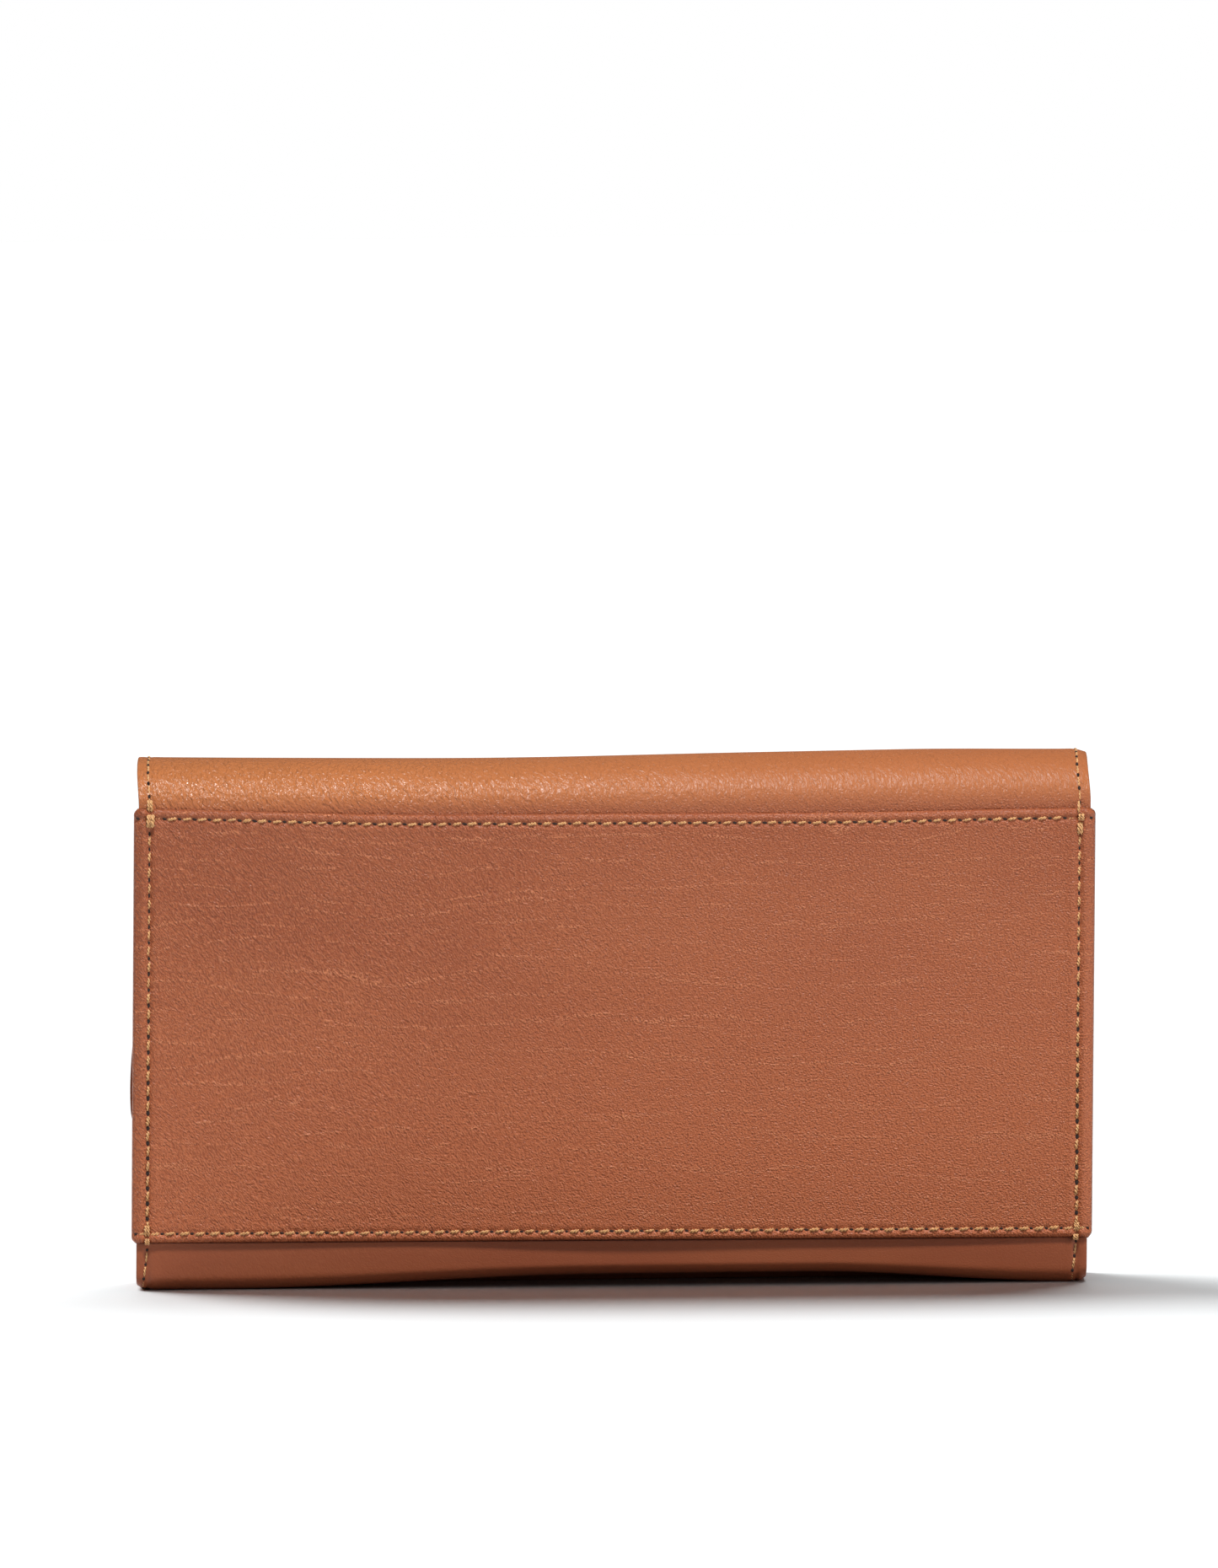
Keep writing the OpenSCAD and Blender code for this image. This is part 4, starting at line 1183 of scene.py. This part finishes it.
def leather(name, tones, fold, middle_x=0, lined=False):
    """Vegetable-tanned hide: slanting grain, calmer to the right of middle_x and under the pocket,
    where painted shade also darkens it, and smooth and warm over the roll, whose right end is
    toned down with painted shade. Its grain pits are darker, partly its own colour and partly
    painted shade. The lined kind, the slip pocket's, has stretch lines and calmer creases low down,
    is lighter towards its lower edge and to the right with painted light that evens out the
    shading, and has a line of painted shade along its lower edge."""
    deep, middle, light = tones
    f = Finish(name)
    flat = f.hide()
    along = f.part(flat, 1)
    right = f.ramp(f.part(flat, 0), middle_x - 80, middle_x + 60)
    roll = f.band(along, S_POCKET_MOUTH - 2, S_POCKET_MOUTH + 6, S_FRONT_SPLIT - 2, S_FRONT_SPLIT + 24)
    calm = f.band(along, S_BASE - 8, S_BASE + 2, S_POCKET_BASE + 1, S_POCKET_BASE + 3)
    marked = 1 - 0.85 * f.math("MAXIMUM", roll, calm)
    drifting = f.wander(flat, size=26, reach=5.0)
    ridges = f.noise(f.stretch(drifting, (0.31, 0.64, 1), turn=0.6), detail=1.0)
    pebbles = f.noise(f.stretch(flat, (0.42, 0.36, 1)), detail=1.0)
    grain = f.between(f.between(right, 0.7, 0.25), pebbles, ridges)
    patches = f.ramp(f.noise(f.stretch(flat, (48, 22, 1)), detail=2.0), 0.3, 0.7)
    base = f.mix(patches, f.mix(0.45, deep, middle), middle)
    creased = f.between(calm, 0.9, 0.1)
    if lined:
        # Lighter towards the lower edge and to the right: painted light that evens out the shading there; the
        # same mask calms the creases low down.
        worn = 1 - f.ramp(along, POCKET_LOW[2] - 5, POCKET_HIGH[2])
        base = f.mix(0.9 * worn + 0.25 * right, base, PAINTED_LIGHT_TAN)
        creased = f.between(worn, 0.9, 0.45)
    # Towards the right the roll's warm tone gives way to the base tone: painted shade that tones down the
    # roll's right end.
    base = f.mix(roll * f.between(right, 1.0, 0.68), base, fold)
    # Darker on the strip under the pocket and over the base: painted shade beneath the pocket.
    base = f.mix(0.25 * calm, base, deep)
    # Darker in the grain's pits: partly the hide's own colour, partly painted shade for hollows that the bump
    # can't shade.
    base = f.mix(0.55 * marked * (1 - f.ramp(grain, 0.36, 0.52)), base, deep)
    base = f.mix(0.35 * marked * f.ramp(grain, 0.5, 0.66), base, light)
    wrinkles = f.noise(f.stretch(drifting, (0.85, 2.1, 1), turn=0.65), detail=2.0, distortion=0.4)
    crinkles = f.noise(f.stretch(drifting, (0.75, 1.6, 1), turn=0.15), detail=2.5, distortion=0.8)
    height = grain * marked + wrinkles * creased * f.between(right, 1.0, 0.3)
    height = height + crinkles * roll * f.between(right, 1.4, 1.0)
    normal = f.bump(height * f.between(right, 0.64, 0.58), 0.7)
    if lined:
        lines = stretch_lines(f, flat) * f.ramp(grain, 0.42, 0.6)
        base = f.mix(0.78 * lines, base, light)
        normal = f.bump(lines, 0.04, Normal=normal)
        # A dark line along the pocket's lower rim: painted shade where the pocket meets the shell.
        painted_edge_shade = 1 - f.ramp(along, POCKET_LOW[2] + 0.22, POCKET_LOW[2] + 0.6)
        base = f.mix(0.85 * painted_edge_shade, base, EDGE_SHADE)
    polish = f.between(roll, 0.38, f.between(right, 0.25, 0.43))
    f.set(Base_Color=base, Roughness=polish, Normal=normal, IOR=1.45, Specular_IOR_Level=0.32)
    return f.material


def cloth(name, main, shade, pitch=0.55, flat=True):
    """Woven cloth: crossing yarns, laid out on the flat hide or upright on the object."""
    f = Finish(name)
    where = f.hide() if flat else f.solid()
    turn = 2 * math.pi / pitch
    warp = f.math("SINE", f.part(where, 0) * turn)
    weft = f.math("SINE", f.part(where, 1 if flat else 2) * turn)
    woven = warp * weft
    tone = f.ramp(woven + 0.8 * f.noise(where, scale=2.5, detail=3.0), -0.6, 1.2)
    f.set(Base_Color=f.mix(tone, shade, main), Roughness=0.85, Normal=f.bump(woven, 0.06))
    f.set(Sheen_Weight=0.25, Sheen_Roughness=0.5)
    return f.material


def thread_finish(name, main, shade):
    """Waxed twisted thread."""
    f = Finish(name)
    fibres = f.noise(f.stretch(f.solid(), (0.12, 0.12, 0.3)), detail=2.0)
    tone = f.mix(f.ramp(fibres, 0.3, 0.75), shade, main)
    f.set(Base_Color=tone, Roughness=0.5, Normal=f.bump(fibres, 0.03), Sheen_Weight=0.2, Sheen_Roughness=0.4)
    return f.material


def metal(name, main, worn, rough):
    """Polished metal with fine scratches and slight wear."""
    f = Finish(name)
    where = f.solid()
    scratches = f.noise(f.stretch(where, (0.16, 1.3, 1.3), turn=0.4), detail=4.0)
    tone = f.mix(f.ramp(f.noise(where, scale=0.25, detail=3.0), 0.35, 0.7), worn, main)
    f.set(Base_Color=tone, Metallic=1.0, Normal=f.bump(scratches, 0.01, strength=0.5))
    f.set(Roughness=rough + 0.14 * f.ramp(scratches, 0.4, 0.7))
    return f.material


def plain(name, tone, rough):
    f = Finish(name)
    f.set(Base_Color=tone, Roughness=rough)
    return f.material


# The dark edge tone is painted shade for the line along the pocket's lower rim.
EDGE_SHADE = colour(0.07, 0.02, 0.012)
DEEP_TAN = colour(0.240, 0.058, 0.024)
TAN = colour(0.312, 0.089, 0.036)
# The lighter tan is painted light, laid low on the slip pocket and towards its right.
PAINTED_LIGHT_TAN = colour(0.412, 0.117, 0.047)
PALE_TAN = colour(0.55, 0.19, 0.085)
ROLLED_TAN = colour(0.435, 0.150, 0.051)
INNER_TAN = colour(0.29, 0.08, 0.036)
TONES = (DEEP_TAN, TAN, PALE_TAN)
INNER_TONES = (colour(0.22, 0.055, 0.026), INNER_TAN, colour(0.42, 0.15, 0.07))
LINING_TONES = (colour(0.24, 0.13, 0.07), colour(0.12, 0.06, 0.03))
TAPE_TONES = (colour(0.09, 0.045, 0.025), colour(0.035, 0.018, 0.01))
MATERIALS = {
    "shell": leather("tan_leather", TONES, fold=ROLLED_TAN),
    "pocket": leather("pocket_leather", TONES, fold=TAN, middle_x=POCKET_U, lined=True),
    "inner": leather("inner_leather", INNER_TONES, fold=INNER_TAN),
    "lining": cloth("lining_cloth", *LINING_TONES),
    "lining_solid": cloth("pouch_cloth", *LINING_TONES, flat=False),
    "tape": cloth("zip_tape_cloth", *TAPE_TONES, pitch=0.45, flat=False),
    "thread": thread_finish("gold_thread", colour(0.80, 0.46, 0.19), colour(0.44, 0.20, 0.07)),
    # Needle holes are flush lenses made dark with painted shade, not real holes.
    "needle_hole_shade": plain("needle_hole_shade", colour(0.022, 0.010, 0.007), 0.9),
    "brass": metal("brass", colour(0.78, 0.57, 0.27), colour(0.55, 0.38, 0.17), 0.22),
    "steel": metal("steel", colour(0.62, 0.61, 0.59), colour(0.45, 0.44, 0.43), 0.24),
}


# ---- Everything put together ----

FLOOR_M = 16.0

# Nodes that keep their own shape and only get a better material.
DRESSED = {
    "brass": ("zip_slider", "zip_pull", "zip_top_stops", "zip_bottom_stop"),
    "steel": ("snap_socket", "snap_stud", "snap_magnet", "snap_socket_washer", "snap_stud_washer"),
    "tape": ("zip_tape_rear", "zip_tape_front"),
    "lining_solid": ("coin_pocket_lining",),
}

S_LINING_FRONT = SHELL.nearest(FRONT_Y, box_mm("front_lining")[1][2])
S_LINING_FLAP = SHELL.nearest(FLAP_Y, box_mm("flap_lining")[0][2])

# Each stretch of the shell and of its lining: its name, its ends along the path, the way it
# faces, its fold, its rims and the nodes that it stands for.
AHEAD = (0, 1, 0)
BEHIND = (0, -1, 0)
UP = (0, 0, 1)
HIDE_SIDES = (0, RIM, 0, RIM)
SHELL_PIECES = [
    ("shell_front", RIM, S_BASE, AHEAD, "bend_front", (CLOTH_RIM, RIM, 0, RIM), ["shell_front"]),
    ("shell_back", S_BASE, S_REAR_SPLIT, BEHIND, "bend_rear", HIDE_SIDES, ["shell_back", "fold_lower"]),
    ("shell_top", S_REAR_SPLIT, S_FRONT_SPLIT, UP, "bend_top", HIDE_SIDES, ["fold_upper"]),
    ("flap", S_FRONT_SPLIT, S_TIP - RIM, AHEAD, "bend_flap", (0, RIM, RIM, RIM), ["flap"]),
]
LINING_START = (CLOTH_RIM, CLOTH_RIM, 0, CLOTH_RIM)
LINING_SIDES = (0, CLOTH_RIM, 0, CLOTH_RIM)
LINING_END = (0, CLOTH_RIM, CLOTH_RIM, CLOTH_RIM)
BACK_LINING = ["back_lining", "fold_lower_lining"]
LINING_PIECES = [
    ("lining_front", S_LINING_FRONT, S_BASE, AHEAD, "bend_front", LINING_START, ["front_lining"]),
    ("lining_back", S_BASE, S_REAR_SPLIT, BEHIND, "bend_rear", LINING_SIDES, BACK_LINING),
    ("lining_top", S_REAR_SPLIT, S_FRONT_SPLIT, UP, "bend_top", LINING_SIDES, ["fold_upper_lining"]),
    ("lining_flap", S_FRONT_SPLIT, S_LINING_FLAP, AHEAD, "bend_flap", LINING_END, ["flap_lining"]),
]


def make_leather_and_lining():
    for name, start, end, outward, way, rims, nodes in SHELL_PIECES:
        finished(shell_piece(f"{name}_soft", start, end, outward, rims), way, "shell", "shell", *nodes)
    for name, start, end, outward, way, rims, nodes in LINING_PIECES:
        finished(cloth_piece(f"{name}_soft", start, end, outward, rims), way, "lining", "lining", *nodes)
    finished(make_slip_pocket(), "body", "pocket", "pocket_leather", "back_pocket")


def make_inside():
    for node, side in (("gusset_left", -1), ("gusset_right", 1)):
        finished(make_gusset(node, side), "bend_gusset", "inner", "inner_leather", node)
    for number, node in enumerate(TIERS):
        finished(make_card_tier(node, number), "body", "inner", "inner_leather", node)
    for node, side in (("coin_pocket_rear", -1), ("coin_pocket_front", 1)):
        finished(make_pouch_panel(node, side), "coin_pocket", "inner", "inner_leather", node)
    for node in ("zip_teeth_rear", "zip_teeth_front"):
        finished(make_teeth(node), "coin_pocket", "brass", "brass", node)


def dress_nodes():
    for material, nodes in DRESSED.items():
        for node in nodes:
            data = bpy.data.objects[node].data
            data.materials.clear()
            data.materials.append(MATERIALS[material])


def make_floor():
    mesh = bpy.data.meshes.new("floor")
    h = FLOOR_M / 2
    mesh.from_pydata([(-h, -h, 0), (h, -h, 0), (h, h, 0), (-h, h, 0)], [], [(0, 1, 2, 3)])
    floor = bpy.data.objects.new("floor", mesh)
    bpy.context.scene.collection.objects.link(floor)
    mesh.materials.append(plain("floor_white", colour(0.86, 0.89, 0.90), 0.9))


# ---- Light ----

SUN_ANGLE = math.radians(32)
LAMP_TARGET = (0, 0, 0.06)
KEY_PLACE = (0.1, -0.7, 1.65)
KEY_SIZE = (0.3, 0.2)
ROLLED = ("shell_back_soft", "shell_top_soft")


def make_world():
    """White to the camera, but a dim room to everything else."""
    world = bpy.data.worlds.new("studio")
    world.use_nodes = True
    tree = world.node_tree
    backdrop = tree.nodes["Background"]
    backdrop.inputs[0].default_value = (1, 1, 1, 1)
    room = tree.nodes.new("ShaderNodeMapRange")
    seen = tree.nodes.new("ShaderNodeLightPath")
    room.inputs["To Min"].default_value = ROOM_LIGHT
    room.inputs["To Max"].default_value = 1.0
    tree.links.new(seen.outputs["Is Camera Ray"], room.inputs["Value"])
    tree.links.new(room.outputs[0], backdrop.inputs[1])
    bpy.context.scene.world = world


def lit_group(name, objects):
    """Objects that a light can be kept to."""
    group = bpy.data.collections.new(name)
    for obj in objects:
        group.objects.link(obj)
    return group


def add_light(name, kind, place, target, power, lit):
    """A light on one group alone."""
    light = bpy.data.objects.new(name, bpy.data.lights.new(name, kind))
    light.data.energy = power
    light.location = place
    light.rotation_euler = (Vector(target) - Vector(place)).to_track_quat("-Z", "Y").to_euler()
    light.light_linking.receiver_collection = lit
    bpy.context.scene.collection.objects.link(light)
    return light


def add_sun(name, place, power, lit):
    add_light(name, "SUN", place, (0, 0, 0), power, lit).data.angle = SUN_ANGLE


def add_lamp(name, place, power, lit, size, diffuse=True, glossy=True):
    """A rectangular lamp that lights the matt side of things, their reflections, or both."""
    light = add_light(name, "AREA", place, LAMP_TARGET, power, lit)
    light.data.shape = "RECTANGLE"
    light.data.size, light.data.size_y = size
    light.visible_diffuse = diffuse
    light.visible_glossy = glossy


def make_lights():
    """Soft suns over the back throw the shadow forward, and lamps light the wallet alone.
    The key and its reflections are apart, so that the roll can gleam from further left."""
    meshes = [obj for obj in bpy.context.scene.objects if obj.type == "MESH"]
    ground = lit_group("ground", [obj for obj in meshes if obj.name == "floor"])
    wallet = lit_group("wallet", [obj for obj in meshes if obj.name != "floor"])
    rolled = lit_group("rolled", [obj for obj in wallet.objects if obj.name in ROLLED])
    unrolled = lit_group("unrolled", [obj for obj in wallet.objects if obj.name not in ROLLED])
    add_sun("over_left", (-0.5, 0.5, 0.82), 1.3 * FLOOR_LIGHT, ground)
    add_sun("over_right", (0.1, 0.5, 0.87), 0.7 * FLOOR_LIGHT, ground)
    add_lamp("key", KEY_PLACE, KEY_LIGHT, wallet, KEY_SIZE, glossy=False)
    add_lamp("gloss", (-0.46, -0.62, 1.1), GLOSS_LIGHT, rolled, (0.08, 0.08), diffuse=False)
    add_lamp("sheen", KEY_PLACE, KEY_LIGHT, unrolled, KEY_SIZE, diffuse=False)
    add_lamp("fill", (1.8, -1.3, 0.3), FILL_LIGHT, wallet, (1.2, 1.2))
    add_lamp("rear", (-0.9, 1.6, 0.6), REAR_LIGHT, wallet, (1.0, 1.0), glossy=False)
    bpy.context.scene.view_settings.view_transform = "Standard"


make_leather_and_lining()
make_inside()
make_back_stitching()
make_front_stitching()
make_knots()
make_inner_stitching()
dress_nodes()
make_floor()
make_world()
make_lights()
